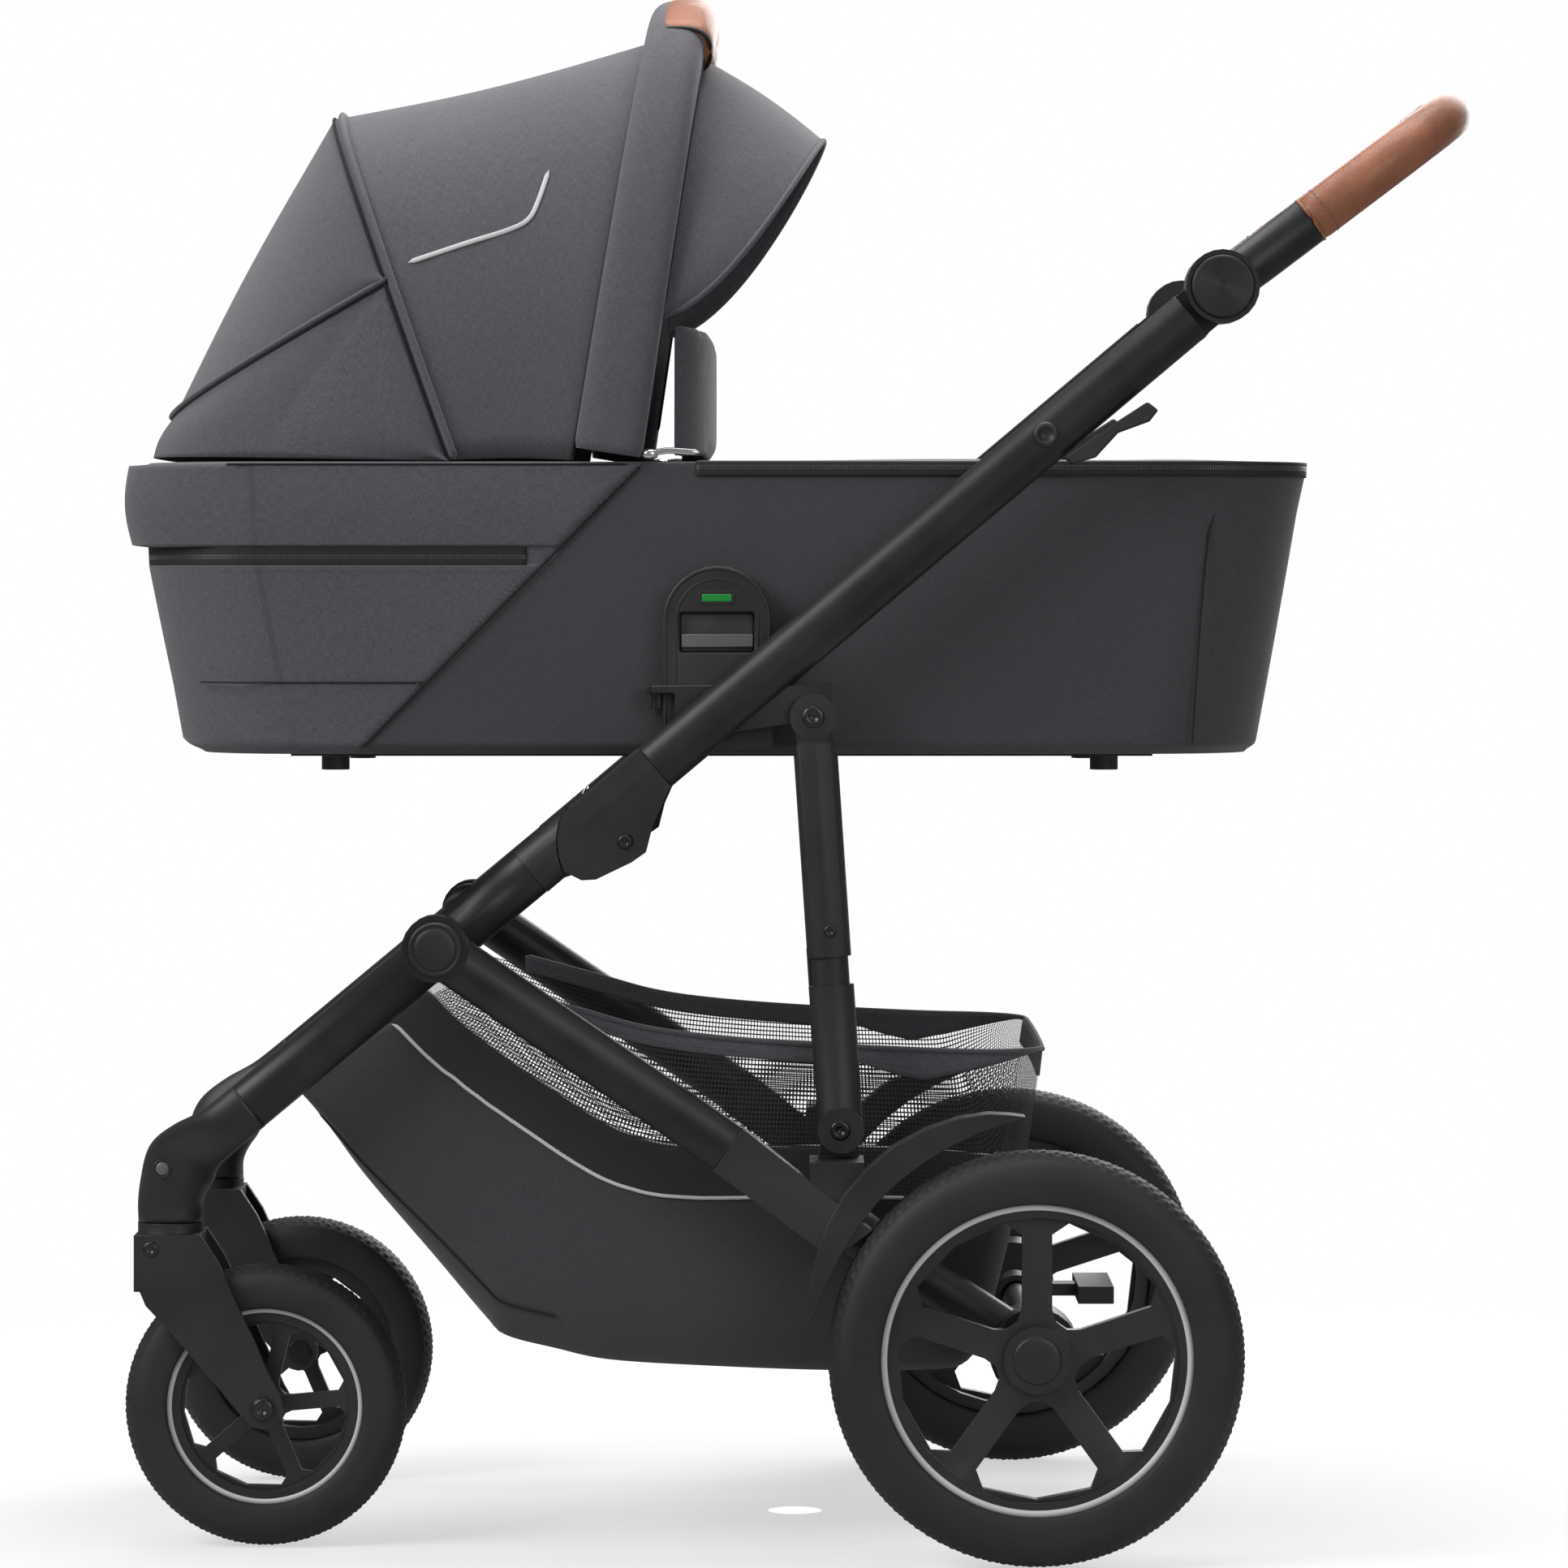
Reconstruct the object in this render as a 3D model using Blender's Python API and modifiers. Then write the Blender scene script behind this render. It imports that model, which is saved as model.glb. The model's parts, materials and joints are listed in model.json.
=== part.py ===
"""A baby stroller with a carrycot: a folding frame on four wheels, modelled in metres with +Z up.

+X points to the handle, -X to the front wheels. The near side is -Y and the far side is +Y.
Every moving piece has its origin on its own joint axis.
"""

import math

import bmesh
import bpy
from mathutils import Matrix, Vector

for old in list(bpy.data.objects):
    bpy.data.objects.remove(old, do_unlink=True)

# ---------------------------------------------------------------- driving dimensions
GAP = 0.0003  # between pieces that touch
RUNNING_GAP = 0.0008  # between pieces that turn or slide past each other

REAR_RADIUS = 0.145
REAR_TYRE_WIDTH = 0.048
FRONT_RADIUS = 0.100
FRONT_TYRE_WIDTH = 0.042
FRONT_TRACK = 0.342
WHEELBASE = 0.545
TRAIL = 0.068
REAR_AXLE_X = 0.168

FRAME_WIDTH = 0.470  # between the middles of the two main tubes
LEG_OUTSIDE = 0.066  # how much further apart the rear legs are than the main tubes
LEG_WIDTH = FRAME_WIDTH + LEG_OUTSIDE  # between the middles of the two rear legs
WHEEL_OUTSIDE = 0.014  # how much further apart the rear wheels are than the rear legs
REAR_TRACK = LEG_WIDTH + WHEEL_OUTSIDE
TUBE_DEPTH = 0.036
TUBE_WIDTH = 0.024
LEG_DEPTH = 0.036
LEG_THICK = 0.022
TUBE_SLOPE = math.radians(40.1)

HUB = Vector((-0.251, 0.0, 0.430))  # where the rear legs hinge on the front frame
FOLD = Vector((-0.118, 0.0, 0.504))  # where the upper frame folds
FOLD_OFFSET = 0.027  # the fold pin sits this far below the middle of the tube
FOLD_RADIUS = 0.049  # the round end of the fold housing
STRUT_TOP = Vector((0.0125, 0.0, 0.591))
STRUT_FOOT = Vector((0.032, 0.0, 0.301))
HANDLE_PIVOT = Vector((0.2995, 0.0, 0.893))
HANDLE_REACH = 0.225  # from the handle's pivot to the far edge of the grip
HANDLE_SLOPE = math.radians(37.0)
HANDLE_TUBE = 0.034
GRIP_WALL = 0.003

COT_LENGTH = 0.848
COT_WIDTH = 0.400
COT_LEFT = -0.479
COT_RIM = 0.770
COT_FLOOR = 0.566
COT_WALL = 0.012
HOOD_PIVOT = Vector((-0.135, 0.0, COT_RIM + 0.0245))
HOOD_FOOT_RADIUS = 0.0238
HOOD_TOP = 1.116

BASKET_WIDTH = 0.404
BASKET_WALL = 0.006

NEAR, FAR = -1, 1
SIDES = (("near", NEAR), ("far", FAR))

REAR_AXLE = Vector((REAR_AXLE_X, 0.0, REAR_RADIUS))
FRONT_AXLE = Vector((REAR_AXLE_X - WHEELBASE, 0.0, FRONT_RADIUS))
STEER_X = FRONT_AXLE.x - TRAIL
ALONG = Vector((math.cos(TUBE_SLOPE), 0.0, math.sin(TUBE_SLOPE)))  # up the main tube
ABOVE = Vector((-math.sin(TUBE_SLOPE), 0.0, math.cos(TUBE_SLOPE)))  # square to it, upwards
TUBE_POINT = FOLD + FOLD_OFFSET * ABOVE  # on the middle of the main tube, over the fold pin
FITTING_SEAM = TUBE_POINT - 0.0665 * ALONG
KNUCKLE_SEAM = Vector((STEER_X + 0.0615, 0.0, 0.318))
KNUCKLE_FOOT = 0.2305
HOUSING_SEAM = 0.048  # along the tube, from over the fold pin
TUBE_TOP = 0.540  # along the tube, where its handle joint begins
LOCK = Vector((STEER_X - 0.003, 0.0, KNUCKLE_FOOT + 0.040))
LOCK_Y = FRONT_TRACK / 2 + 0.0250
LOCK_RADIUS = 0.0052
EYE_RADIUS = 0.010
EYE_THICK = 0.009
FOLD_PIN_RADIUS = 0.004
LEG_SLOPE = math.radians(-34.4)
DOWN_LEG = Vector((math.cos(LEG_SLOPE), 0.0, math.sin(LEG_SLOPE)))
OVER_LEG = Vector((-math.sin(LEG_SLOPE), 0.0, math.cos(LEG_SLOPE)))
LEG_SEAM = 0.247  # down the leg, where its casting begins
REAR_RIM = REAR_RADIUS - 0.036
FRONT_RIM = FRONT_RADIUS - 0.030
STRUT_WIDTH = 0.022
STRUT_END = 0.0165  # the round ends' radius
TONGUE_THICK = 0.009
DISC_RADIUS = 0.026
DISC_SPLIT = 0.0005  # outside the middle of the main tube, where the handle's half of the joint begins
HANDLE_Y = FRAME_WIDTH / 2
GRIP_START = 0.078
DOCK_X = -0.0553
RECEIVER_Y = FRAME_WIDTH / 2 - 0.0190
LATCH_Y = RECEIVER_Y - 0.0075  # the bottom of the recess that holds a dock's latch
ARM_Y = LEG_WIDTH / 2 - 0.044  # the suspension arms' distance from the middle
SHELF_Y = FRAME_WIDTH / 2 - 0.027  # where the shelf under a strut's foot ends
ARM_TOP = Vector((0.050, 0.0, 0.222))
ARM_DOWN = (REAR_AXLE - ARM_TOP).normalized()

# ---------------------------------------------------------------- materials and collections
stroller = bpy.data.collections.new("baby_stroller")
helpers = bpy.data.collections.new("cutters")
bpy.context.scene.collection.children.link(stroller)
bpy.context.scene.collection.children.link(helpers)


def finish(name, colour, roughness, metallic=0.0):
    """A Principled material."""
    material = bpy.data.materials.new(name)
    material.use_nodes = True
    shader = material.node_tree.nodes["Principled BSDF"]
    shader.inputs["Base Color"].default_value = (*colour, 1.0)
    shader.inputs["Roughness"].default_value = roughness
    shader.inputs["Metallic"].default_value = metallic
    return material


ALUMINIUM = finish("matte_black_aluminium", (0.022, 0.022, 0.023), 0.42, 0.6)
PLASTIC = finish("black_plastic", (0.018, 0.018, 0.018), 0.5)
GREY_PLASTIC = finish("grey_plastic", (0.16, 0.16, 0.165), 0.45)
RUBBER = finish("tyre_rubber", (0.012, 0.012, 0.012), 0.75)
FABRIC = finish("grey_fabric", (0.095, 0.09, 0.102), 0.9)
LINING = finish("black_lining", (0.02, 0.02, 0.022), 0.9)
LEATHER = finish("tan_leather", (0.30, 0.10, 0.045), 0.45)
STEEL = finish("black_steel", (0.05, 0.05, 0.05), 0.3, 1.0)


# ---------------------------------------------------------------- shape helpers
def add(name, mesh, material=None, place=None, helper=False):
    """An object of this mesh, as a part or as an unseen helper."""
    obj = bpy.data.objects.new(name, mesh)
    (helpers if helper else stroller).objects.link(obj)
    if helper:
        obj.hide_render = True
        obj.display_type = "WIRE"
    if material:
        mesh.materials.clear()
        mesh.materials.append(material)
    if place:
        obj.matrix_world = place
    return obj


def mesh_of(name, build):
    """A mesh filled by build(bmesh), with smooth faces between sharp edges."""
    mesh = bpy.data.meshes.new(name)
    form = bmesh.new()
    build(form)
    bmesh.ops.recalc_face_normals(form, faces=form.faces)
    form.to_mesh(mesh)
    form.free()
    mesh.shade_smooth()
    mesh.set_sharp_from_angle(angle=math.radians(35))
    return mesh


def box(name, low, high, **how):
    """A box between two corners."""
    low, high = Vector(low), Vector(high)

    def build(form):
        bmesh.ops.create_cube(form, size=1.0)
        bmesh.ops.scale(form, vec=high - low, verts=form.verts)
        bmesh.ops.translate(form, vec=(low + high) / 2, verts=form.verts)

    return add(name, mesh_of(name, build), **how)


def rod(name, start, end, depth, width=None, segments=16, end_scale=1.0, **how):
    """A round or oval rod. depth is measured in the XZ plane and width along Y."""
    start, end = Vector(start), Vector(end)
    along = (end - start).normalized()
    if abs(along.y) > 0.99:
        turn = Matrix((Vector((1, 0, 0)), Vector((0, 0, 1)) * -along.y, along)).transposed()
    else:
        across = Vector((0, 1, 0))
        turn = Matrix((across.cross(along), across, along)).transposed()

    def build(form):
        bmesh.ops.create_cone(form, cap_ends=True, segments=segments, radius1=0.5,
                              radius2=0.5 * end_scale, depth=(end - start).length)
        bmesh.ops.scale(form, vec=(depth, width or depth, 1.0), verts=form.verts)
        bmesh.ops.transform(form, verts=form.verts,
                            matrix=Matrix.Translation((start + end) / 2) @ turn.to_4x4())

    return add(name, mesh_of(name, build), **how)


def disc(name, centre, radius, y_from, y_to, segments=24, **how):
    """A round disc or pin that lies across the stroller."""
    return rod(name, (centre.x, y_from, centre.z), (centre.x, y_to, centre.z), 2 * radius,
               segments=segments, **how)


def plate(name, outline, y_middle, thickness, holes=(), **how):
    """A flat plate: its outline in X and Z, its thickness along Y."""
    curve = bpy.data.curves.new(name, "CURVE")
    curve.dimensions = "2D"
    curve.fill_mode = "BOTH"
    curve.extrude = thickness / 2
    for loop in (outline, *holes):
        spline = curve.splines.new("POLY")
        spline.points.add(len(loop) - 1)
        spline.use_cyclic_u = True
        for point, (x, z) in zip(spline.points, loop):
            point.co = (x, z, 0.0, 1.0)
    flat = bpy.data.objects.new(name + "_outline", curve)
    stroller.objects.link(flat)
    flat.matrix_world = (Matrix.Translation((0, y_middle, 0))
                         @ Matrix.Rotation(math.radians(90), 4, "X"))
    bpy.context.view_layer.update()
    evaluated = flat.evaluated_get(bpy.context.evaluated_depsgraph_get())
    mesh = bpy.data.meshes.new_from_object(evaluated)
    mesh.transform(flat.matrix_world)
    bpy.data.objects.remove(flat)
    form = bmesh.new()
    form.from_mesh(mesh)
    bmesh.ops.remove_doubles(form, verts=form.verts, dist=0.00001)
    bmesh.ops.recalc_face_normals(form, faces=form.faces)
    form.to_mesh(mesh)
    form.free()
    mesh.name = name
    return add(name, mesh, **how)


def combine(base, operation, *others):
    """Joins other solids to base, or cuts them from it."""
    for other in others:
        modifier = base.modifiers.new(other.name, "BOOLEAN")
        modifier.operation = operation
        modifier.object = other
        if other.name not in helpers.objects:
            stroller.objects.unlink(other)
            helpers.objects.link(other)
            other.hide_render = True
            other.display_type = "WIRE"
    return base


def arc(centre, radius, start, end, steps):
    """Points (x, z) on an arc about centre, with its angles in degrees."""
    angles = [math.radians(start + (end - start) * n / steps) for n in range(steps + 1)]
    return [(centre[0] + radius * math.cos(a), centre[1] + radius * math.sin(a)) for a in angles]


def on_tube(along, above=0.0, y=0.0):
    """A point on the main tube's middle line, measured from over the fold pin."""
    point = TUBE_POINT + along * ALONG + above * ABOVE
    return Vector((point.x, y, point.z))


def pivot(obj, point):
    """Puts an object's origin on its joint, leaving the object where it is."""
    obj.data.transform(Matrix.Translation(-Vector(point)))
    obj.location = point
    return obj


def ring(form, points):
    """One closed loop of vertices."""
    return [form.verts.new(point) for point in points]


def loft(name, sections, **how):
    """A closed solid through sections of equal numbers of points, capped at both ends."""

    def build(form):
        loops = [ring(form, section) for section in sections]
        for first, second in zip(loops, loops[1:]):
            for n in range(len(first)):
                m = (n + 1) % len(first)
                form.faces.new((first[n], first[m], second[m], second[n]))
        form.faces.new(loops[0])
        form.faces.new(loops[-1])

    return add(name, mesh_of(name, build), **how)


def rounded(half_x, half_y, corner, steps=4):
    """Points (x, y) of a rectangle with round corners, about the origin."""
    points = []
    for n, (sx, sy) in enumerate(((1, 1), (-1, 1), (-1, -1), (1, -1))):
        centre = (sx * (half_x - corner), sy * (half_y - corner))
        points += arc(centre, corner, 90 * n, 90 * n + 90, steps)
    return points


# ---------------------------------------------------------------- front frame
def front_tube(side, sign):
    """The lower part of a main tube, from the front knuckle's seam to the fold fitting's seam."""
    y = sign * FRAME_WIDTH / 2
    tube = rod(f"front_tube_{side}", KNUCKLE_SEAM + Vector((0, y, 0)), FITTING_SEAM + Vector((0, y, 0)),
               TUBE_DEPTH, TUBE_WIDTH, material=ALUMINIUM)
    boss = disc("hub_boss", HUB, 0.0215, y - sign * 0.004, sign * (LEG_WIDTH - LEG_THICK) / 2 - sign * GAP,
                segments=24)
    return combine(tube, "UNION", boss)


def fold_eye(side, sign):
    """The fitting on the front frame that carries the fold pin: a full end, a thin eye and the pin."""
    y = sign * FRAME_WIDTH / 2
    start = FITTING_SEAM + GAP * ALONG
    body = rod(f"fold_eye_{side}", start + Vector((0, y, 0)), on_tube(-0.01, y=y),
               TUBE_DEPTH + 0.001, TUBE_WIDTH + 0.001, material=PLASTIC)
    clear = disc("eye_clear", FOLD, FOLD_RADIUS + RUNNING_GAP, -1, 1, segments=48)
    root = on_tube(-0.062)
    web = plate("eye_web", [(FOLD.x, FOLD.z - EYE_RADIUS), (FOLD.x + EYE_RADIUS, FOLD.z),
                            (FOLD.x, FOLD.z + EYE_RADIUS), (root.x - 0.004, root.z + 0.010),
                            (root.x + 0.006, root.z - 0.012)], y, EYE_THICK)
    eye = disc("eye", FOLD, EYE_RADIUS, y - EYE_THICK / 2, y + EYE_THICK / 2, segments=24)
    pin = disc("fold_pin", FOLD, FOLD_PIN_RADIUS, y - TUBE_WIDTH / 2 - 0.001, y + TUBE_WIDTH / 2 + 0.001,
               segments=20)
    combine(body, "DIFFERENCE", clear)
    return combine(body, "UNION", web, eye, pin)


def front_knuckle(side, sign):
    """The casting that turns the main tube down onto the front wheel's swivel."""
    y_tube, y_steer = sign * FRAME_WIDTH / 2, sign * FRONT_TRACK / 2
    seam = KNUCKLE_SEAM - GAP * ALONG
    slope = (FITTING_SEAM - KNUCKLE_SEAM).normalized()
    above = Vector((-slope.z, 0, slope.x))
    sections = []
    for centre, up, depth, width in (
            (Vector((seam.x, y_tube, seam.z)), above, TUBE_DEPTH, TUBE_WIDTH),
            (Vector((seam.x - 0.035, sign * (FRAME_WIDTH / 2 - 0.010), seam.z - 0.028)), above, 0.038, 0.026),
            (Vector((STEER_X + 0.012, y_steer + sign * 0.022, KNUCKLE_FOOT + 0.062)),
             Vector((-0.75, 0, 0.66)), 0.052, 0.034),
            (Vector((STEER_X + 0.002, y_steer + sign * 0.004, KNUCKLE_FOOT + 0.026)), Vector((-1, 0, 0.12)),
             0.046, 0.042),
            (Vector((STEER_X, y_steer, KNUCKLE_FOOT)), Vector((-1, 0, 0)), 0.046, 0.046)):
        up = up.normalized()
        across = Vector((0, 1, 0))
        sections.append([centre + up * (depth / 2 * math.cos(a)) + across * (width / 2 * math.sin(a))
                         for a in (math.tau * n / 20 for n in range(20))])
    knuckle = loft(f"front_knuckle_{side}", sections, material=PLASTIC)
    deep, open_end = sign * (LOCK_Y - 0.0020), sign * (LOCK_Y + 0.02)
    recess = disc("lock_recess", LOCK, LOCK_RADIUS + 0.0004, min(deep, open_end), max(deep, open_end),
                  segments=20)
    return combine(knuckle, "DIFFERENCE", recess)


def front_cross_bar():
    """The bar that ties the two knuckles together behind the front wheels."""
    reach = FRONT_TRACK / 2 - 0.0053
    return rod("front_cross_bar", (STEER_X + 0.018, -reach, KNUCKLE_FOOT + 0.054),
               (STEER_X + 0.018, reach, KNUCKLE_FOOT + 0.054), 0.024, material=ALUMINIUM)


def swivel_lock_button(side, sign):
    """The grey button on the outside of a knuckle that locks its wheel straight."""
    inner, outer = sign * LOCK_Y, sign * (LOCK_Y + 0.0072)
    button = disc(f"swivel_lock_button_{side}", LOCK, LOCK_RADIUS, min(inner, outer), max(inner, outer),
                  segments=20,
                  material=GREY_PLASTIC)
    return pivot(button, (LOCK.x, inner, LOCK.z))


# ---------------------------------------------------------------- wheels and front forks
def turned(name, centre, profile, segments, **how):
    """A ring of revolution about a cross-wise axis. The profile is a closed loop of (radius, y)."""

    def build(form):
        loop = [form.verts.new((centre.x + r, centre.y + y, centre.z)) for r, y in profile]
        edges = [form.edges.new((a, b)) for a, b in zip(loop, loop[1:] + loop[:1])]
        bmesh.ops.spin(form, geom=loop + edges, cent=centre, axis=(0, 1, 0), angle=math.tau,
                       steps=segments, use_merge=True)
        bmesh.ops.remove_doubles(form, verts=form.verts, dist=0.00001)

    return add(name, mesh_of(name, build), **how)


def tyre(name, centre, radius, inner, width, segments):
    """An air tyre: a round crown on straight side walls that narrow to the rim."""
    half = width / 2
    profile = [(inner, -half * 0.62), (inner + (radius - inner) * 0.45, -half),
               (radius - half * 0.35, -half * 0.80),
               (radius, -half * 0.25), (radius, half * 0.25), (radius - half * 0.35, half * 0.80),
               (inner + (radius - inner) * 0.45, half), (inner, half * 0.62)]
    return turned(name, centre, profile, segments, material=RUBBER)


def spoke_opening(centre, start, inner, outer, half_spoke):
    """The round-cornered opening between two of five spokes, the first at angle start in degrees."""
    points = []
    for radius, spare in ((inner, 6.0), (inner * 1.25, 0.0), (outer * 0.90, 0.0), (outer, 7.0)):
        points.append((radius, start + math.degrees(math.asin(half_spoke / radius)) + spare))
    middle = start + 36.0
    loop = points + [(outer, middle)] + [(radius, 2 * middle - angle) for radius, angle in reversed(points)]
    return [(centre.x + r * math.cos(math.radians(a)), centre.z + r * math.sin(math.radians(a))) for r,
            a in loop]


def rim(name, centre, sign, radius, hub, half_spoke, width, bore, first, through=False):
    """A five-spoked wheel: its barrel, its spokes and its hub, with the axle's bore open on the inside."""
    half = width / 2
    outer = centre.y + sign * half
    web = plate(name, arc((centre.x, centre.z), radius - 0.004, 4, 364 - 360 / 32, 31),
                centre.y + sign * half * 0.35,
                width * 0.34, material=PLASTIC,
                holes=[spoke_opening(centre, first + 72 * n, hub * 1.25, radius - 0.011,
                                     half_spoke) for n in range(5)])
    barrel = turned("barrel", centre, [(radius - 0.009, -half), (radius, -half), (radius, half),
                                       (radius - 0.009, half)], 32)
    boss = disc("boss", centre, hub, centre.y - sign * (half + 0.0012), outer + sign * 0.0013, segments=24)
    bore_end = outer + sign * (0.01 if through else -0.004)
    hole = disc("bore", centre, bore, centre.y - sign * (half + 0.01), bore_end, segments=20)
    combine(web, "UNION", barrel, boss)
    return combine(web, "DIFFERENCE", hole)


def wheels():
    """Four wheels, each a tyre on a rim."""
    for side, sign in SIDES:
        centre = REAR_AXLE + Vector((0, sign * REAR_TRACK / 2, 0))
        pivot(tyre(f"rear_tyre_{side}", centre, REAR_RADIUS, REAR_RIM, REAR_TYRE_WIDTH, 36), centre)
        pivot(rim(f"rear_rim_{side}", centre, sign, REAR_RIM - 0.0007, 0.0235, 0.0105, 0.030, 0.0066, 18.0),
              centre)
        centre = FRONT_AXLE + Vector((0, sign * FRONT_TRACK / 2, 0))
        pivot(tyre(f"front_tyre_{side}", centre, FRONT_RADIUS, FRONT_RIM, FRONT_TYRE_WIDTH, 32), centre)
        pivot(rim(f"front_rim_{side}", centre, sign, FRONT_RIM - 0.0007, 0.0125, 0.0055, 0.024, 0.0046, 5.0,
                  through=True), centre)


def caster_fork(side, sign):
    """A front wheel's fork: the swivel ring, the crown and a leg on each side of the wheel."""
    y = sign * FRONT_TRACK / 2
    inner, outer = FRONT_TYRE_WIDTH / 2 + 0.0025, FRONT_TYRE_WIDTH / 2 + 0.0105
    top = KNUCKLE_FOOT - 0.0075
    axle = (FRONT_AXLE.x, FRONT_AXLE.z)
    outline = [(STEER_X - 0.0235, top), (STEER_X - 0.0235, top - 0.030), (STEER_X - 0.015, top - 0.050),
               (STEER_X + 0.003, top - 0.069), *arc(axle, 0.0145, 222, 402, 8),
               (STEER_X + 0.036, top - 0.019), (STEER_X + 0.0235, top)]
    legs = [plate(f"caster_fork_{side}" if out > 0 else "fork_leg", outline, y + out * (inner + outer) / 2,
                  outer - inner,
                  material=PLASTIC) for out in (1, -1)]
    crown = box("fork_crown", (STEER_X - 0.0235, y - outer, top - 0.040), (STEER_X + 0.0235, y + outer, top))
    room = disc("wheel_room", FRONT_AXLE, FRONT_RADIUS + 0.004, y - inner, y + inner, segments=48)
    swivel = rod("swivel_ring", (STEER_X, y, top - 0.002), (STEER_X, y, KNUCKLE_FOOT - GAP), 0.047,
                 segments=24)
    bolt_hole = disc("bolt_hole", FRONT_AXLE, 0.0045, y - 0.1, y + 0.1, segments=20)
    fork = combine(legs[0], "UNION", legs[1], crown)
    combine(fork, "DIFFERENCE", room)
    combine(fork, "UNION", swivel)
    combine(fork, "DIFFERENCE", bolt_hole)
    return pivot(fork, (STEER_X, y, KNUCKLE_FOOT))


def front_axle_bolt(side, sign):
    """The bolt through a fork and its wheel, with a head at each end."""
    y, out = sign * FRONT_TRACK / 2, FRONT_TYRE_WIDTH / 2 + 0.0105
    bolt = disc(f"front_axle_bolt_{side}", FRONT_AXLE, 0.0041, y - out - 0.001, y + out + 0.001, segments=20,
                material=STEEL)
    heads = [disc("bolt_head", FRONT_AXLE, 0.0085, y + end * (out + GAP), y + end * (out + 0.0028),
                  segments=20) for end in (-1, 1)]
    return combine(bolt, "UNION", *heads)


# ---------------------------------------------------------------- rear frame
def rear_leg(side, sign):
    """A rear leg tube with the ring that turns on the front frame's hub."""
    y = Vector((0, sign * LEG_WIDTH / 2, 0))
    leg = rod(f"rear_leg_{side}", HUB + 0.012 * DOWN_LEG + y, HUB + LEG_SEAM * DOWN_LEG + y, LEG_DEPTH,
              LEG_THICK,
              material=ALUMINIUM)
    eye = disc("leg_ring", HUB, 0.0235, y.y - LEG_THICK / 2, y.y + LEG_THICK / 2, segments=24)
    return pivot(combine(leg, "UNION", eye), HUB + y)


def leg_pivot_cap(side, sign):
    """The round cap over a rear leg's hinge."""
    y = sign * (LEG_WIDTH + LEG_THICK) / 2
    return disc(f"leg_pivot_cap_{side}", HUB, 0.0190, y + sign * GAP, y + sign * 0.0035, segments=24,
                material=PLASTIC)


# The fender's edges: the angle about the axle in degrees, and how far outside the tyre.
FENDER_TOP = ((92.7, 0.0235), (96, 0.0255), (101, 0.0285), (108, 0.0308), (116, 0.0323), (124, 0.0330),
              (132, 0.0322),
              (140, 0.0305), (147, 0.0280), (153, 0.0252), (160, 0.0226), (167, 0.0205), (172, 0.0180))
FENDER_UNDER = ((172, 0.0155), (167, 0.0120), (160, 0.0100), (152, 0.0092), (144, 0.0095), (136, 0.0102),
                (128, 0.0112),
                (120, 0.0125), (112, 0.0145), (104, 0.0172), (97, 0.0200), (92.7, 0.0222))


def leg_casting(side, sign):
    """The casting at a rear leg's foot: it carries the strut, the arched fender and the suspension arm."""
    y = sign * LEG_WIDTH / 2
    start = HUB + (LEG_SEAM + GAP) * DOWN_LEG
    end = HUB + 0.350 * DOWN_LEG
    half = LEG_DEPTH / 2
    corners = [start + half * OVER_LEG, end + 0.010 * OVER_LEG + 0.012 * DOWN_LEG,
               end - (half + 0.004) * OVER_LEG,
               start - half * OVER_LEG]
    body = plate(f"leg_casting_{side}", [(c.x, c.z) for c in corners], y, LEG_THICK, material=PLASTIC)
    axle = (REAR_AXLE.x, REAR_AXLE.z)
    fender = plate("fender", [(axle[0] + (REAR_RADIUS + gap) * math.cos(math.radians(angle)),
                               axle[1] + (REAR_RADIUS + gap) * math.sin(math.radians(angle)))
                              for angle, gap in (*FENDER_TOP, *FENDER_UNDER)], y, LEG_THICK + 0.004)
    foot, inner = STRUT_FOOT, FRAME_WIDTH / 2 - STRUT_WIDTH / 2 - RUNNING_GAP
    low = foot.z - STRUT_END - 0.004
    shelf = box("shelf", (foot.x - 0.022, min(sign * SHELF_Y, y), low - 0.046),
                (foot.x + 0.016, max(sign * SHELF_Y, y), low))
    lug = plate("lug", [(foot.x - 0.020, low - 0.02), (foot.x + 0.014, low - 0.02),
                        *arc((foot.x, foot.z), 0.012, 0, 180, 8)],
                sign * (inner - 0.004), 0.008)
    stub = rod("arm_socket", ARM_TOP - 0.020 * ARM_DOWN + Vector((0, sign * ARM_Y, 0)),
               ARM_TOP + Vector((0, sign * ARM_Y, 0)), 0.036)
    return combine(body, "UNION", fender, shelf, lug, stub)


def suspension_arm(side, sign):
    """The round arm from a casting to its wheel, with the hub drum and the stub axle."""
    y = Vector((0, sign * ARM_Y, 0))
    arm = rod(f"suspension_arm_{side}", ARM_TOP + GAP * ARM_DOWN + y, REAR_AXLE - 0.006 * ARM_DOWN + y,
              0.032, material=PLASTIC)
    face = REAR_TRACK / 2 - 0.0165
    drum = disc("hub_drum", REAR_AXLE, 0.032, sign * 0.203, sign * (face - 0.005), segments=24)
    neck = disc("hub_neck", REAR_AXLE, 0.018, sign * 0.203, sign * (face - RUNNING_GAP), segments=24)
    stub = disc("stub_axle", REAR_AXLE, 0.006, sign * 0.203, sign * (REAR_TRACK / 2 + 0.009), segments=20)
    return combine(arm, "UNION", drum, neck, stub)


def rear_axle():
    """The tube between the two hub drums."""
    return disc("rear_axle", REAR_AXLE, 0.011, -0.203 + GAP, 0.203 - GAP, segments=20, material=ALUMINIUM)


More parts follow.
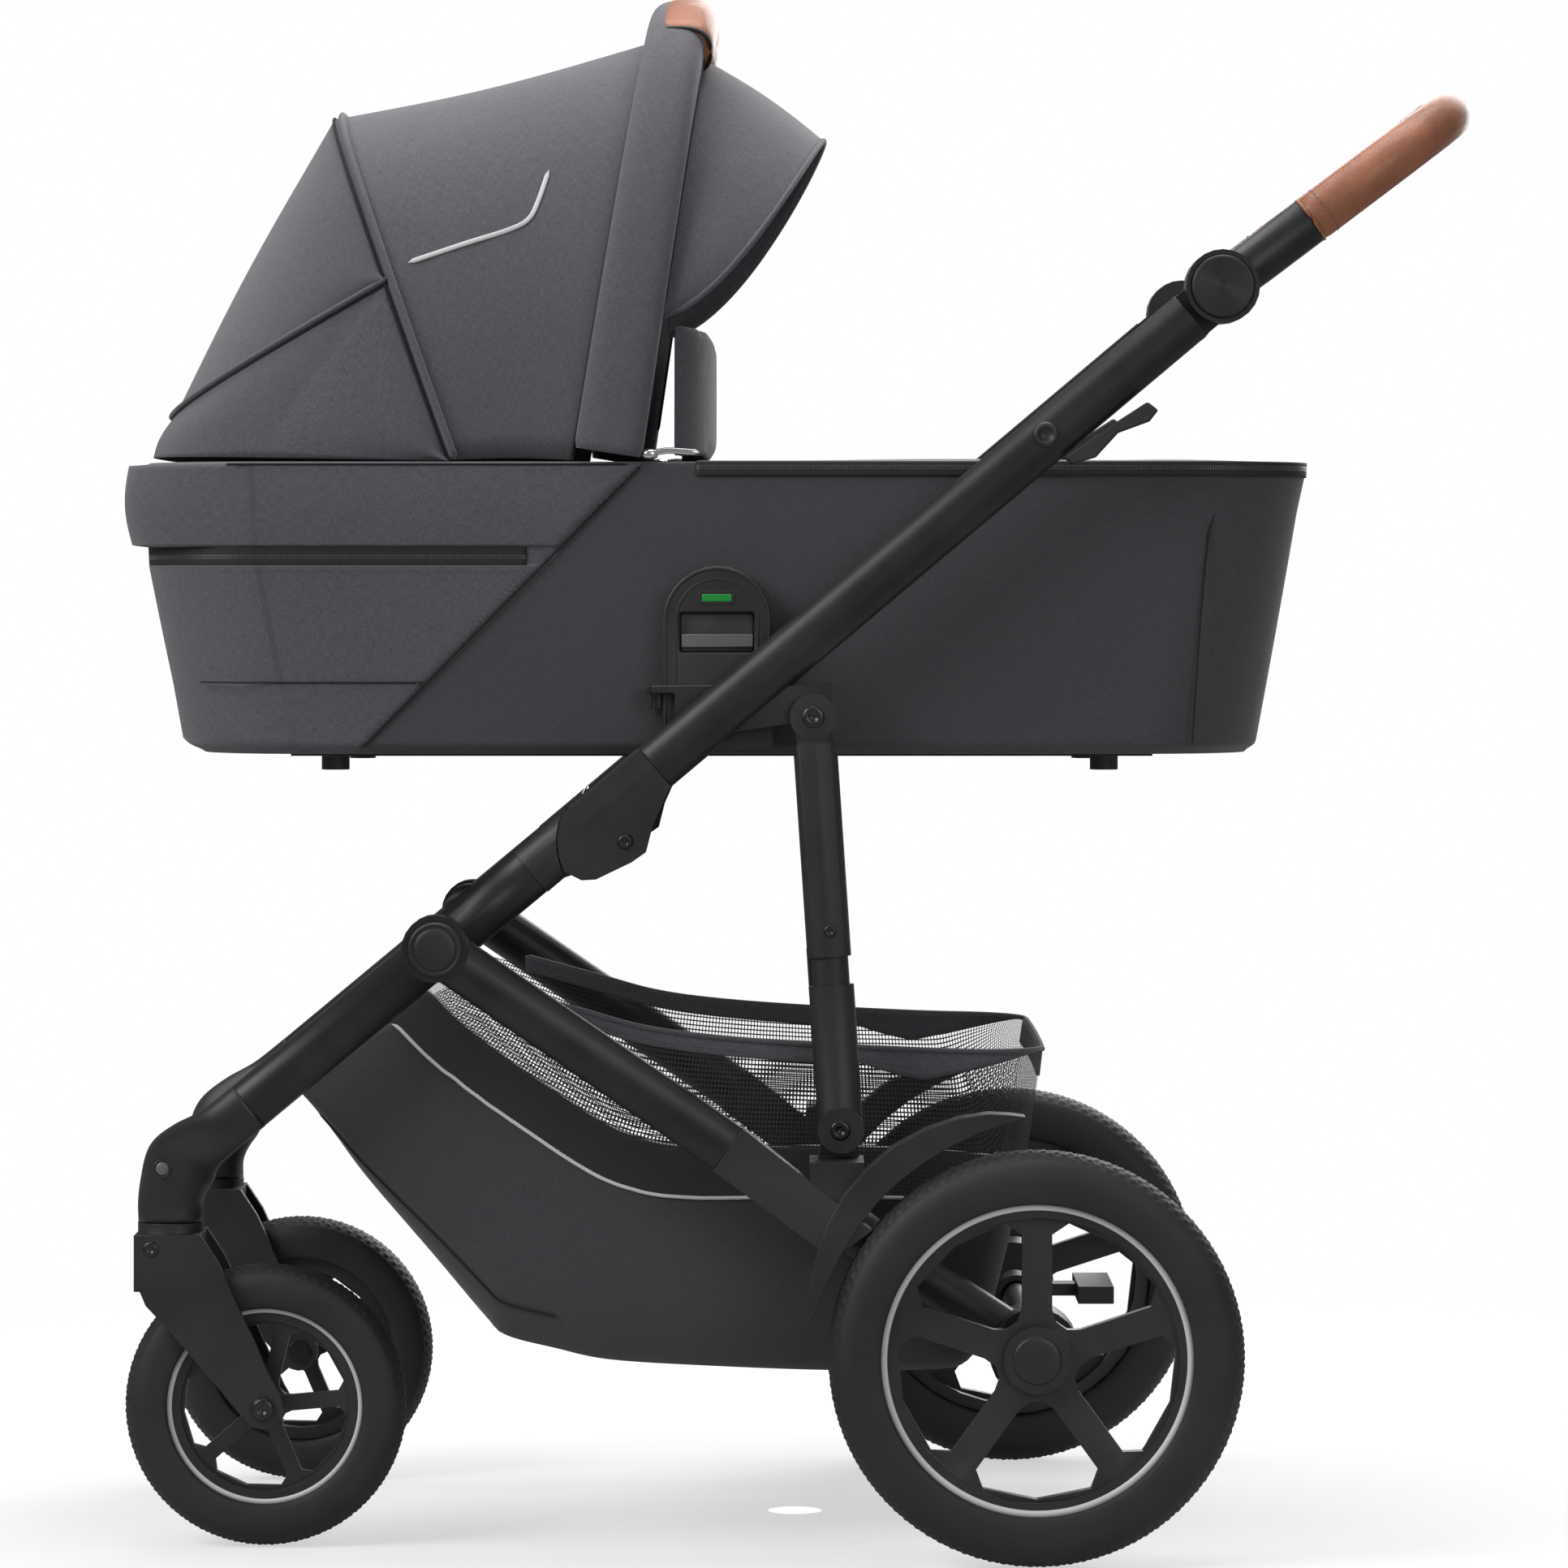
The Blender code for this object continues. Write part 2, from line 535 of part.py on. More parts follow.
def brake_pedal():
    """The foot pedal that turns on the rear axle."""
    low, high = 0.110, 0.150
    sleeve = disc("brake_pedal", REAR_AXLE, 0.0165, low, high, segments=24, material=PLASTIC)
    bore = disc("pedal_bore", REAR_AXLE, 0.0120, low - 0.01, high + 0.01, segments=24)
    lever = box("pedal_lever", (REAR_AXLE.x + 0.0135, low + 0.008, REAR_AXLE.z + 0.000),
                (REAR_AXLE.x + 0.062, high - 0.008, REAR_AXLE.z + 0.009))
    tread = box("pedal_tread", (REAR_AXLE.x + 0.045, low - 0.030, REAR_AXLE.z - 0.002),
                (REAR_AXLE.x + 0.072, high + 0.030, REAR_AXLE.z + 0.011))
    combine(sleeve, "UNION", lever, tread)
    return pivot(combine(sleeve, "DIFFERENCE", bore), REAR_AXLE)


# ---------------------------------------------------------------- upper frame
def fold_housing(side, sign):
    """The hinged end of an upper tube: two cheeks over the eye, with room for the eye to swing."""
    y = sign * FRAME_WIDTH / 2
    housing = rod(f"fold_housing_{side}", on_tube(-0.017, y=y), on_tube(HOUSING_SEAM, y=y),
                  TUBE_DEPTH + 0.001,
                  TUBE_WIDTH + 0.001, material=PLASTIC)
    seam_low, seam_high = on_tube(HOUSING_SEAM, -0.017), on_tube(HOUSING_SEAM, 0.0165)
    top = on_tube(-0.020, 0.0165)
    outline = [(seam_high.x, seam_high.z), (top.x, top.z),
               *arc((FOLD.x, FOLD.z), FOLD_RADIUS, 151, 206, 8),
               (FOLD.x - 0.032, FOLD.z - 0.0275), (FOLD.x - 0.022, FOLD.z - 0.0270), (FOLD.x + 0.003, FOLD.z - 0.0150),
               (FOLD.x + 0.013, FOLD.z - 0.008), (FOLD.x + 0.0175, FOLD.z + 0.010), (seam_low.x, seam_low.z)]
    cheeks = plate("cheeks", outline, y, TUBE_WIDTH)
    slot_angles = arc((FOLD.x, FOLD.z), FOLD_RADIUS + 0.004, 158, 372, 24)
    slot = plate("slot", slot_angles, y, EYE_THICK + 2 * RUNNING_GAP)
    bore = disc("pin_bore", FOLD, FOLD_PIN_RADIUS + 0.0005, y - 0.03, y + 0.03, segments=20)
    combine(housing, "UNION", cheeks)
    return pivot(combine(housing, "DIFFERENCE", slot, bore), FOLD + Vector((0, y, 0)))


def upper_tube(side, sign):
    """The long upper tube with the strut's bracket under it and the handle joint's half at its top."""
    y = sign * FRAME_WIDTH / 2
    tube = rod(f"upper_tube_{side}", on_tube(HOUSING_SEAM + GAP, y=y), on_tube(TUBE_TOP, y=y), TUBE_DEPTH,
               TUBE_WIDTH,
               material=ALUMINIUM)
    low, high = y - sign * TUBE_WIDTH / 2, y + sign * (DISC_SPLIT - GAP)
    joint = disc("joint_disc", HANDLE_PIVOT, DISC_RADIUS, min(low, high), max(low, high), segments=24)
    neck_corners = [on_tube(a, d) for a, d in ((TUBE_TOP - 0.01, -0.0172), (0.566, -0.0172), (0.566, 0.0172),
                                               (TUBE_TOP - 0.01, 0.0172))]
    neck = plate("joint_neck", [(c.x, c.z) for c in neck_corners], (low + high) / 2, abs(high - low) - 0.001)
    top = STRUT_TOP
    left, right = on_tube(0.098, -0.012), on_tube(0.150, -0.012)
    bracket = plate("bracket", [(left.x, left.z), (top.x - 0.012, top.z - 0.004),
                                *arc((top.x, top.z), 0.0125, 230, 380, 8),
                                (top.x + 0.014, top.z + 0.024), (right.x, right.z)], y, TONGUE_THICK)
    return combine(tube, "UNION", joint, neck, bracket)


def strut(side, sign):
    """The brace from the upper tube to the rear leg, in two sleeves."""
    y = Vector((0, sign * FRAME_WIDTH / 2, 0))
    down = (STRUT_FOOT - STRUT_TOP).normalized()
    upper = rod(f"strut_upper_{side}", STRUT_TOP + 0.019 * down + y, STRUT_TOP + 0.169 * down + y, 0.031,
                STRUT_WIDTH,
                material=PLASTIC)
    fork = rod("strut_fork", STRUT_TOP + y, STRUT_TOP + 0.025 * down + y, 0.030, STRUT_WIDTH)
    fork_end = disc("fork_end", STRUT_TOP, STRUT_END, y.y - STRUT_WIDTH / 2, y.y + STRUT_WIDTH / 2,
                    segments=24)
    half_slot = TONGUE_THICK / 2 + RUNNING_GAP
    room = disc("tongue_room", STRUT_TOP, 0.0300, y.y - half_slot, y.y + half_slot, segments=24)
    combine(upper, "UNION", fork, fork_end)
    pivot(combine(upper, "DIFFERENCE", room), STRUT_TOP + y)
    lower = rod(f"strut_lower_{side}", STRUT_TOP + 0.189 * down + y, STRUT_FOOT + y, 0.032, STRUT_WIDTH,
                material=PLASTIC)
    neck = rod("strut_neck", STRUT_TOP + (0.169 + GAP) * down + y, STRUT_TOP + 0.195 * down + y, 0.026, 0.018)
    foot = disc("strut_round", STRUT_FOOT, STRUT_END, y.y - STRUT_WIDTH / 2, y.y + STRUT_WIDTH / 2,
                segments=24)
    return combine(lower, "UNION", neck, foot)


def cot_receiver(side, sign):
    """The socket inside an upper tube that takes the carrycot's dock."""
    inner, outer = sign * RECEIVER_Y, sign * (FRAME_WIDTH - TUBE_WIDTH) / 2 - sign * GAP
    low, high = sorted((inner, outer))
    body = box(f"cot_receiver_{side}", (DOCK_X - 0.030, low, COT_FLOOR + 0.001),
               (DOCK_X + 0.040, high, COT_FLOOR + 0.046),
               material=PLASTIC)
    flange = box("flange", (DOCK_X - 0.046, low, COT_FLOOR + 0.041),
                 (DOCK_X + 0.046, high, COT_FLOOR + 0.047))
    return combine(body, "UNION", flange)


def release_lever(side, sign):
    """The ribbed trigger under an upper tube that frees the fold."""
    y = sign * FRAME_WIDTH / 2
    outline = [on_tube(a, d) for a, d in ((0.408, -0.0186), (0.409, -0.026), (0.425, -0.033), (0.448, -0.030),
                                         (0.470, -0.038), (0.480, -0.036), (0.478, -0.0265), (0.420, -0.0192))]
    lever = plate(f"release_lever_{side}", [(p.x, p.z) for p in outline], y, 0.016, material=PLASTIC)
    return pivot(lever, on_tube(0.410, -0.0225, y))


# ---------------------------------------------------------------- handle
def handle_path():
    """Half of the handle's middle line, from a disc to the middle of the grip."""
    y, reach, corner = HANDLE_Y, HANDLE_REACH - HANDLE_TUBE / 2, 0.085
    side = [(0.0, y), (0.06, y), (reach - corner, y)]
    bend = [(reach - corner + corner * math.sin(a), y - corner + corner * math.cos(a))
            for a in (math.radians(90 * n / 8) for n in range(1, 9))]
    return side + bend


def pipe(name, points, radius, sides=2, **how):
    """A round tube along points, closed at both ends."""
    curve = bpy.data.curves.new(name, "CURVE")
    curve.dimensions = "3D"
    curve.bevel_depth = radius
    curve.bevel_resolution = sides
    curve.use_fill_caps = True
    spline = curve.splines.new("POLY")
    spline.points.add(len(points) - 1)
    for point, place in zip(spline.points, points):
        point.co = (*place, 1.0)
    line = bpy.data.objects.new(name + "_line", curve)
    stroller.objects.link(line)
    bpy.context.view_layer.update()
    mesh = bpy.data.meshes.new_from_object(line.evaluated_get(bpy.context.evaluated_depsgraph_get()))
    bpy.data.objects.remove(line)
    form = bmesh.new()
    form.from_mesh(mesh)
    bmesh.ops.remove_doubles(form, verts=form.verts, dist=0.00001)
    bmesh.ops.recalc_face_normals(form, faces=form.faces)
    form.to_mesh(mesh)
    form.free()
    mesh.name = name
    mesh.shade_smooth()
    mesh.set_sharp_from_angle(angle=math.radians(35))
    return add(name, mesh, **how)


def in_handle(reach, y):
    """A point in the handle's tilted plane."""
    return (HANDLE_PIVOT.x + reach * math.cos(HANDLE_SLOPE), y,
            HANDLE_PIVOT.z + reach * math.sin(HANDLE_SLOPE))


def handle():
    """The U-shaped handle bar with its two discs, the leather grip over it, and the buttons in the discs."""
    half = handle_path()
    whole = [in_handle(r, -y) for r, y in half] + [in_handle(r, y) for r, y in reversed(half)]
    bar = pipe("handle_bar", whole, HANDLE_TUBE / 2 - GRIP_WALL - GAP)
    arms, discs = [], []
    for side, sign in SIDES:
        arms.append(rod("arm", in_handle(0.0, sign * HANDLE_Y), in_handle(GRIP_START - GAP, sign * HANDLE_Y),
                        HANDLE_TUBE, 0.030))
        split = sign * (FRAME_WIDTH / 2 + DISC_SPLIT)
        face = split + sign * 0.0165
        discs.append(disc("arm_disc", HANDLE_PIVOT, DISC_RADIUS, min(split, face), max(split, face),
                          segments=24))
        button = disc(f"tilt_button_{side}", HANDLE_PIVOT, DISC_RADIUS - 0.004,
                      min(face - sign * 0.001, face + sign * 0.003),
                      max(face - sign * 0.001, face + sign * 0.003), segments=24, material=PLASTIC)
        recess = disc("button_recess", HANDLE_PIVOT, DISC_RADIUS - 0.0035,
                      min(face - sign * 0.0045, face + sign * 0.01),
                      max(face - sign * 0.0045, face + sign * 0.01), segments=24)
        discs.append(recess)
        pivot(button, (HANDLE_PIVOT.x, face, HANDLE_PIVOT.z))
    bar.data.materials.append(ALUMINIUM)
    keep_out = [box("clear_inside", (HANDLE_PIVOT.x - 0.05, -(FRAME_WIDTH / 2 + DISC_SPLIT),
                                     HANDLE_PIVOT.z - 0.05),
                    (HANDLE_PIVOT.x + 0.032, FRAME_WIDTH / 2 + DISC_SPLIT, HANDLE_PIVOT.z + 0.05))]
    combine(bar, "UNION", *arms, discs[0], discs[2])
    combine(bar, "DIFFERENCE", discs[1], discs[3], *keep_out)
    pivot(bar, HANDLE_PIVOT)

    start = [(GRIP_START, HANDLE_Y)] + [p for p in half if p[0] > GRIP_START + 0.01]
    covered = [in_handle(r, -y) for r, y in start] + [in_handle(r, y) for r, y in reversed(start)]
    grip = pipe("handle_grip", covered, HANDLE_TUBE / 2, material=LEATHER)
    ends = [(GRIP_START - 0.03, HANDLE_Y)] + start
    bored = [in_handle(r, -y) for r, y in ends] + [in_handle(r, y) for r, y in reversed(ends)]
    pivot(combine(grip, "DIFFERENCE", pipe("grip_bore", bored, HANDLE_TUBE / 2 - GRIP_WALL)), HANDLE_PIVOT)


# ---------------------------------------------------------------- carrycot
def cot_section(z, left, right, half_y, corner=0.085):
    """A rounded rectangle seen from above, at height z."""
    middle, half_x = (left + right) / 2, (right - left) / 2
    return [(middle + x, y, z) for x, y in rounded(half_x, half_y, corner)]


def cot_tub():
    """The carrycot's tub: a rounded bucket with its side walls and floor."""
    right, half = COT_LEFT + COT_LENGTH, COT_WIDTH / 2
    tub = loft("cot_tub", [cot_section(COT_FLOOR, COT_LEFT + 0.046, right - 0.038, half, 0.080),
                           cot_section(COT_RIM - 0.060, COT_LEFT + 0.022, right - 0.010, half),
                           cot_section(COT_RIM - 0.056, COT_LEFT, right - 0.009, half),
                           cot_section(COT_RIM, COT_LEFT, right, half)], material=FABRIC)
    wall = COT_WALL
    inside = loft("cot_inside", [cot_section(COT_FLOOR + wall, COT_LEFT + 0.046 + wall, right - 0.038 - wall,
                                             half - 0.012 - wall, 0.060),
                                 cot_section(COT_RIM + 0.01, COT_LEFT + 0.022 + wall, right - wall,
                                             half - 0.002 - wall, 0.075)])
    return combine(tub, "DIFFERENCE", inside)


def cot_base():
    """The board under the tub with its four feet."""
    base = box("cot_base", (-0.360, -0.165, COT_FLOOR - 0.0045), (0.255, 0.165, COT_FLOOR - GAP),
               material=PLASTIC)
    feet = [disc_foot(x, y) for x in (COT_LEFT + 0.150, COT_LEFT + 0.7) for y in (-0.15, 0.15)]
    return combine(base, "UNION", *feet)


def disc_foot(x, y):
    """One round rubber foot."""
    return rod("foot", (x, y, COT_FLOOR - 0.003), (x, y, COT_FLOOR - 0.0145), 0.020, segments=20)


def mattress():
    """The pad on the tub's floor."""
    right, top = COT_LEFT + COT_LENGTH, COT_FLOOR + COT_WALL + 0.030
    return loft("mattress", [cot_section(COT_FLOOR + COT_WALL + GAP, COT_LEFT + 0.066, right - 0.058,
                                         COT_WIDTH / 2 - 0.032, 0.060),
                             cot_section(top, COT_LEFT + 0.066, right - 0.058, COT_WIDTH / 2 - 0.032,
                                         0.060)], material=LINING)


def apron():
    """The cover zipped over the cot's foot half, with the wind flap that stands up at its edge."""
    right = COT_LEFT + COT_LENGTH
    low = COT_RIM + GAP
    cover = box("apron", (-0.072, -COT_WIDTH / 2 + 0.004, low),
                (right - 0.080, COT_WIDTH / 2 - 0.004, low + 0.004), material=FABRIC)
    end = loft("apron_end", [[(x, y, z) for x, y, _ in cot_section(0, right - 0.180, right - 0.003,
                                                                   COT_WIDTH / 2 - 0.004, 0.080)]
                             for z in (low, low + 0.004)])
    flap = box("wind_flap", (-0.096, -0.176, low), (-0.066, 0.176, COT_RIM + 0.097))
    return combine(cover, "UNION", end, flap)


def cot_dock(side, sign):
    """The bracket on the cot's side that clips into the frame."""
    inner, outer = COT_WIDTH / 2 + 0.0006, RECEIVER_Y - RUNNING_GAP
    outline = [(DOCK_X - 0.0387, COT_FLOOR + 0.001), (DOCK_X + 0.0387, COT_FLOOR + 0.001),
               *arc((DOCK_X, COT_FLOOR + 0.0926), 0.0387, 0, 180, 14)]
    dock = plate(f"cot_dock_{side}", outline, sign * (inner + outer) / 2, outer - inner, material=PLASTIC)
    low, high = sorted((sign * LATCH_Y, sign * (LATCH_Y + 0.0215)))
    recess = box("latch_recess", (DOCK_X - 0.0262, low, COT_FLOOR + 0.070), (DOCK_X + 0.0262, high, COT_FLOOR + 0.098))
    return combine(dock, "DIFFERENCE", recess)


def dock_latch(side, sign):
    """The grey bar in a dock that is squeezed up to free the cot."""
    low, high = sorted((sign * (LATCH_Y + GAP), sign * (LATCH_Y + 0.005)))
    bar = box(f"dock_latch_{side}", (DOCK_X - 0.0255, low, COT_FLOOR + 0.0735),
              (DOCK_X + 0.0255, high, COT_FLOOR + 0.083),
              material=GREY_PLASTIC)
    return bar


# ---------------------------------------------------------------- hood
def sheet(name, rows, thickness, **how):
    """An open grid of points given a thickness inwards."""
    vertices = [point for row in rows for point in row]
    wide = len(rows[0])
    faces = [(r * wide + c, (r + 1) * wide + c, (r + 1) * wide + c + 1, r * wide + c + 1)
             for r in range(len(rows) - 1) for c in range(wide - 1)]
    mesh = bpy.data.meshes.new(name)
    mesh.from_pydata(vertices, [], faces)
    obj = add(name, mesh, **how)
    wall = obj.modifiers.new("wall", "SOLIDIFY")
    wall.thickness = thickness
    wall.offset = -1.0
    return obj


def bow(foot_x, foot_z, top_x, top_z, half, steps=16, roundness=2.6):
    """A bow from the near foot over the top to the far foot: a super-ellipse across, leaning in X."""
    points = []
    for n in range(steps + 1):
        a = math.pi * n / steps
        across = -math.copysign(abs(math.cos(a)) ** (2 / roundness), math.cos(a))
        up = math.sin(a) ** (2 / roundness)
        points.append((foot_x + (top_x - foot_x) * up, half * across, foot_z + (top_z - foot_z) * up))
    return points


HOOD_FOOT = COT_RIM + 0.0013
HOOD_HALF = COT_WIDTH / 2 - 0.013


def hood_canopy():
    """The hood's fabric from the back of the cot to the carrying arch, open at the front and below."""
    rows = [bow(-0.463, HOOD_FOOT, -0.459, HOOD_FOOT + 0.022, HOOD_HALF - 0.050),
            bow(-0.440, HOOD_FOOT, -0.436, HOOD_FOOT + 0.062, HOOD_HALF - 0.020),
            bow(-0.395, HOOD_FOOT, -0.385, 0.925, HOOD_HALF - 0.006),
            bow(-0.330, HOOD_FOOT, -0.334, 1.026, HOOD_HALF),
            bow(-0.240, HOOD_FOOT, -0.232, 1.051, HOOD_HALF),
            bow(-0.160, HOOD_FOOT, -0.128, 1.074, HOOD_HALF)]
    return sheet("hood_canopy", rows, 0.005, material=FABRIC)


ARCH_HALF = COT_WIDTH / 2 + 0.0075
GRIP_LIFT = 0.0015
ARCH_ROWS = ((-0.158, -0.101, HOOD_TOP - 0.010, 0.0), (-0.140, -0.083, HOOD_TOP - 0.0045, 0.004),
             (-0.122, -0.066, HOOD_TOP - 0.006, 0.001), (-0.112, -0.054, HOOD_TOP - 0.022, -0.006))


def arch_foot(x):
    """The height of the arch's foot, which is round about the hood's hinge."""
    return HOOD_PIVOT.z - math.sqrt(max(0.0, HOOD_FOOT_RADIUS ** 2 - (x - HOOD_PIVOT.x) ** 2))


def hood_arch():
    """The padded arch over the hood's front that is also the carrying handle."""
    rows = [bow(foot, arch_foot(foot), top_x, top_z, ARCH_HALF + more) for foot, top_x, top_z,
            more in ARCH_ROWS]
    return pivot(sheet("hood_arch", rows, 0.018, material=FABRIC), HOOD_PIVOT)


def carry_grip():
    """The leather wrap over the middle of the arch."""
    rows = [bow(foot, arch_foot(foot), top_x, top_z + GRIP_LIFT, ARCH_HALF + more, steps=40)[14:27]
            for foot, top_x, top_z, more in ARCH_ROWS[1:]]
    return pivot(sheet("carry_grip", rows, -0.003, material=LEATHER), HOOD_PIVOT)


def hood_visor():
    """The sun visor in front of the arch."""
    half = HOOD_HALF - 0.0013
    rows = [bow(-0.1003, 0.8724, -0.0603, 1.0659, half), bow(-0.0753, 0.8844, -0.0333, 1.0504, half),
            bow(-0.044, 0.908, -0.004, 1.030, half - 0.002), bow(-0.008, 0.950, 0.022, 1.010, half - 0.006)]
    return pivot(sheet("hood_visor", rows, 0.004, material=FABRIC), HOOD_PIVOT)


# ---------------------------------------------------------------- basket
def basket():
    """The shopping basket: a deep bag between the frames, open at the top, low at the front sides."""
    half = BASKET_WIDTH / 2
    outline = [(-0.347, 0.330), (-0.304, 0.262), (-0.222, 0.156), (-0.205, 0.147), (-0.120, 0.131),
               (0.100, 0.126), (0.126, 0.140),
               (0.146, 0.185), (0.168, 0.270), (0.180, 0.350), (0.030, 0.356), (-0.070, 0.352), (-0.150, 0.363),
               (-0.235, 0.395), (-0.330, 0.352)]
    body = plate("basket", outline, 0.0, 2 * half, material=FABRIC)
    wall = BASKET_WALL
    inner = [(-0.336, 0.334), (-0.298, 0.268), (-0.216, 0.164), (-0.202, 0.155), (-0.119, 0.1385),
             (0.097, 0.1335), (0.120, 0.145),
             (0.140, 0.187), (0.162, 0.271), (0.174, 0.37), (0.03, 0.42), (-0.1, 0.42), (-0.220, 0.43)]
    cavity = plate("basket_inside", inner, 0.0, 2 * (half - wall))
    combine(body, "DIFFERENCE", cavity)
    reach = (FRAME_WIDTH - TUBE_WIDTH) / 2 - GAP
    loops = [box("basket_loop", (-0.336, min(sign * (half - 0.004), sign * reach), 0.3400),
                 (-0.322, max(sign * (half - 0.004), sign * reach), 0.3520)) for _, sign in SIDES]
    return combine(body, "UNION", *loops)


# ---------------------------------------------------------------- the whole stroller
for one_side, its_sign in SIDES:
    for make in (front_tube, fold_eye, front_knuckle, swivel_lock_button, caster_fork, front_axle_bolt,
                 rear_leg,
                 leg_pivot_cap, leg_casting, suspension_arm, fold_housing, upper_tube, strut, cot_receiver,
                 release_lever, cot_dock, dock_latch):
        make(one_side, its_sign)
for make in (front_cross_bar, wheels, rear_axle, brake_pedal, handle, cot_tub, cot_base, mattress, apron,
             hood_canopy,
             hood_arch, carry_grip, hood_visor, basket):
    make()
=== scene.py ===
# %% [markdown]
# # A folding baby stroller with its carrycot
#
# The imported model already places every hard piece, so this lesson starts from it as a fixed frame and works
# on what the eye sees: rounded castings, woven cloth, leather, tyres with a tread, seams, zips and mesh.
# Every shape is a surface worked out with numpy, and every finish is a small network of nodes.

# %% Load the frame
import json
import math

import bmesh
import bpy
import numpy as np
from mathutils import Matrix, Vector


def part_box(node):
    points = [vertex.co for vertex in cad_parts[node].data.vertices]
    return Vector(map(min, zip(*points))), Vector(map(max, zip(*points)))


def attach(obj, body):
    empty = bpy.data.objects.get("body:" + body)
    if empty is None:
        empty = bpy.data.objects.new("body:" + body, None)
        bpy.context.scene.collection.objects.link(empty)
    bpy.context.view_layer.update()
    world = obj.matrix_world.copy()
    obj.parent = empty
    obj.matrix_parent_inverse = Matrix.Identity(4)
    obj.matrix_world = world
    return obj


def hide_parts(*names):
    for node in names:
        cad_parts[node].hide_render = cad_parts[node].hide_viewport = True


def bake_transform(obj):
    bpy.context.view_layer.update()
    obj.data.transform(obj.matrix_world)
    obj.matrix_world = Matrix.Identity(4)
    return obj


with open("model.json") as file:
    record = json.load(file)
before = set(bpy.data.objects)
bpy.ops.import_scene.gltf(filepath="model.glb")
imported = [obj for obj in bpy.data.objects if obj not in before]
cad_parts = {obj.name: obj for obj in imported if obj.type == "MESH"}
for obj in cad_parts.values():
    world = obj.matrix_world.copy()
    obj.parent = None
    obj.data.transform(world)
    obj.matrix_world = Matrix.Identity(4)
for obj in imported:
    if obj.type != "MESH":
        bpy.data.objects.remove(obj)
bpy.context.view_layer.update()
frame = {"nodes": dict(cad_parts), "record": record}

# %% [markdown]
# ## Shader maths as Python
#
# A finish is easier to read as an expression than as a tangle of nodes. `Signal` wraps one output socket, and
# the usual operators add Math nodes, so that `1 - mask * 0.3` works. `Finish.node` adds any other node.


# %% Signals and finishes
class Signal:
    """A value that changes over a surface: one output socket, with arithmetic."""

    def __init__(self, finish, socket):
        self.finish, self.socket = finish, socket

    def math(self, operation, *others):
        return self.finish.node("ShaderNodeMath", {"operation": operation}, dict(enumerate((self, *others))))

    def __add__(self, other):
        return self.math("ADD", other)

    def __sub__(self, other):
        return self.math("SUBTRACT", other)

    def __rsub__(self, other):
        return self.finish.node("ShaderNodeMath", {"operation": "SUBTRACT"}, {0: other, 1: self})

    def __mul__(self, other):
        return self.math("MULTIPLY", other)

    def __gt__(self, other):
        return self.math("GREATER_THAN", other)

    def __lt__(self, other):
        return self.math("LESS_THAN", other)

    __radd__, __rmul__ = __add__, __mul__

    def sine(self):
        return self.math("SINE")

    def fraction(self):
        return self.math("FRACT")

    def band(self, low, high):
        """0 below low, 1 above high, smooth between."""
        return self.finish.node("ShaderNodeMapRange", {"interpolation_type": "SMOOTHSTEP"},
                                {"Value": self, "From Min": low, "From Max": high})


class Finish:
    """One material and the nodes in front of its Principled shader."""

    def __init__(self, name, colour, roughness, metallic=0.0, sheen=0.0, coat=0.0):
        self.material = bpy.data.materials.new(name)
        self.material.use_nodes = True
        self.tree = self.material.node_tree
        self.shader = self.tree.nodes["Principled BSDF"]
        self.coordinates = self.tree.nodes.new("ShaderNodeTexCoord")
        for socket, value in (("Base Color", (*colour, 1.0)), ("Roughness", roughness),
                              ("Metallic", metallic),
                              ("Sheen Weight", sheen), ("Sheen Roughness", 0.5), ("Coat Weight", coat)):
            self.shader.inputs[socket].default_value = value

    def node(self, kind, settings=None, inputs=None, output=0):
        """Adds a node: its settings first, then the values or links of its sockets."""
        made = self.tree.nodes.new(kind)
        for key, value in (settings or {}).items():
            setattr(made, key, value)
        for key, value in (inputs or {}).items():
            if isinstance(value, Signal):
                self.tree.links.new(value.socket, made.inputs[key])
            else:
                made.inputs[key].default_value = value
        return Signal(self, made.outputs[output])

    def place(self, space="Object"):
        return Signal(self, self.coordinates.outputs[space])

    def axes(self, space="Object"):
        """The three coordinates of a point, as three signals."""
        split = self.tree.nodes.new("ShaderNodeSeparateXYZ")
        self.tree.links.new(self.coordinates.outputs[space], split.inputs[0])
        return [Signal(self, split.outputs[n]) for n in range(3)]

    def noise(self, scale, detail=3.0, space="Object", stretch=None):
        """Noise with about scale bumps a metre; stretch multiplies the three axes first."""
        where = self.place(space)
        if stretch:
            where = self.node("ShaderNodeVectorMath", {"operation": "MULTIPLY"}, {0: where, 1: stretch})
        return self.node("ShaderNodeTexNoise", {}, {"Vector": where, "Scale": scale, "Detail": detail})

    def mix(self, amount, first, second):
        """A colour between two colours."""
        inputs = {0: amount, 6: (*first, 1.0) if isinstance(first, tuple) else first,
                  7: (*second, 1.0) if isinstance(second, tuple) else second}
        return self.node("ShaderNodeMix", {"data_type": "RGBA"}, inputs, output=2)

    def feed(self, socket, signal):
        self.tree.links.new(signal.socket, self.shader.inputs[socket])
        return self

    def bump(self, height, distance, strength=1.0, over=None):
        inputs = {"Height": height, "Distance": distance, "Strength": strength}
        if over is not None:
            inputs["Normal"] = over
        return self.node("ShaderNodeBump", {}, inputs)


print("shader helpers ready")

# %% [markdown]
# ## Hard finishes
#
# The tubes are aluminium with a satin black coat, the castings and wheels are nylon with a fine moulded
# grain, and the pins are dark steel. On the real thing none of them is one flat black: the coat has a slow
# mottle and the grain catches a soft light, so colour and roughness both wander a little.


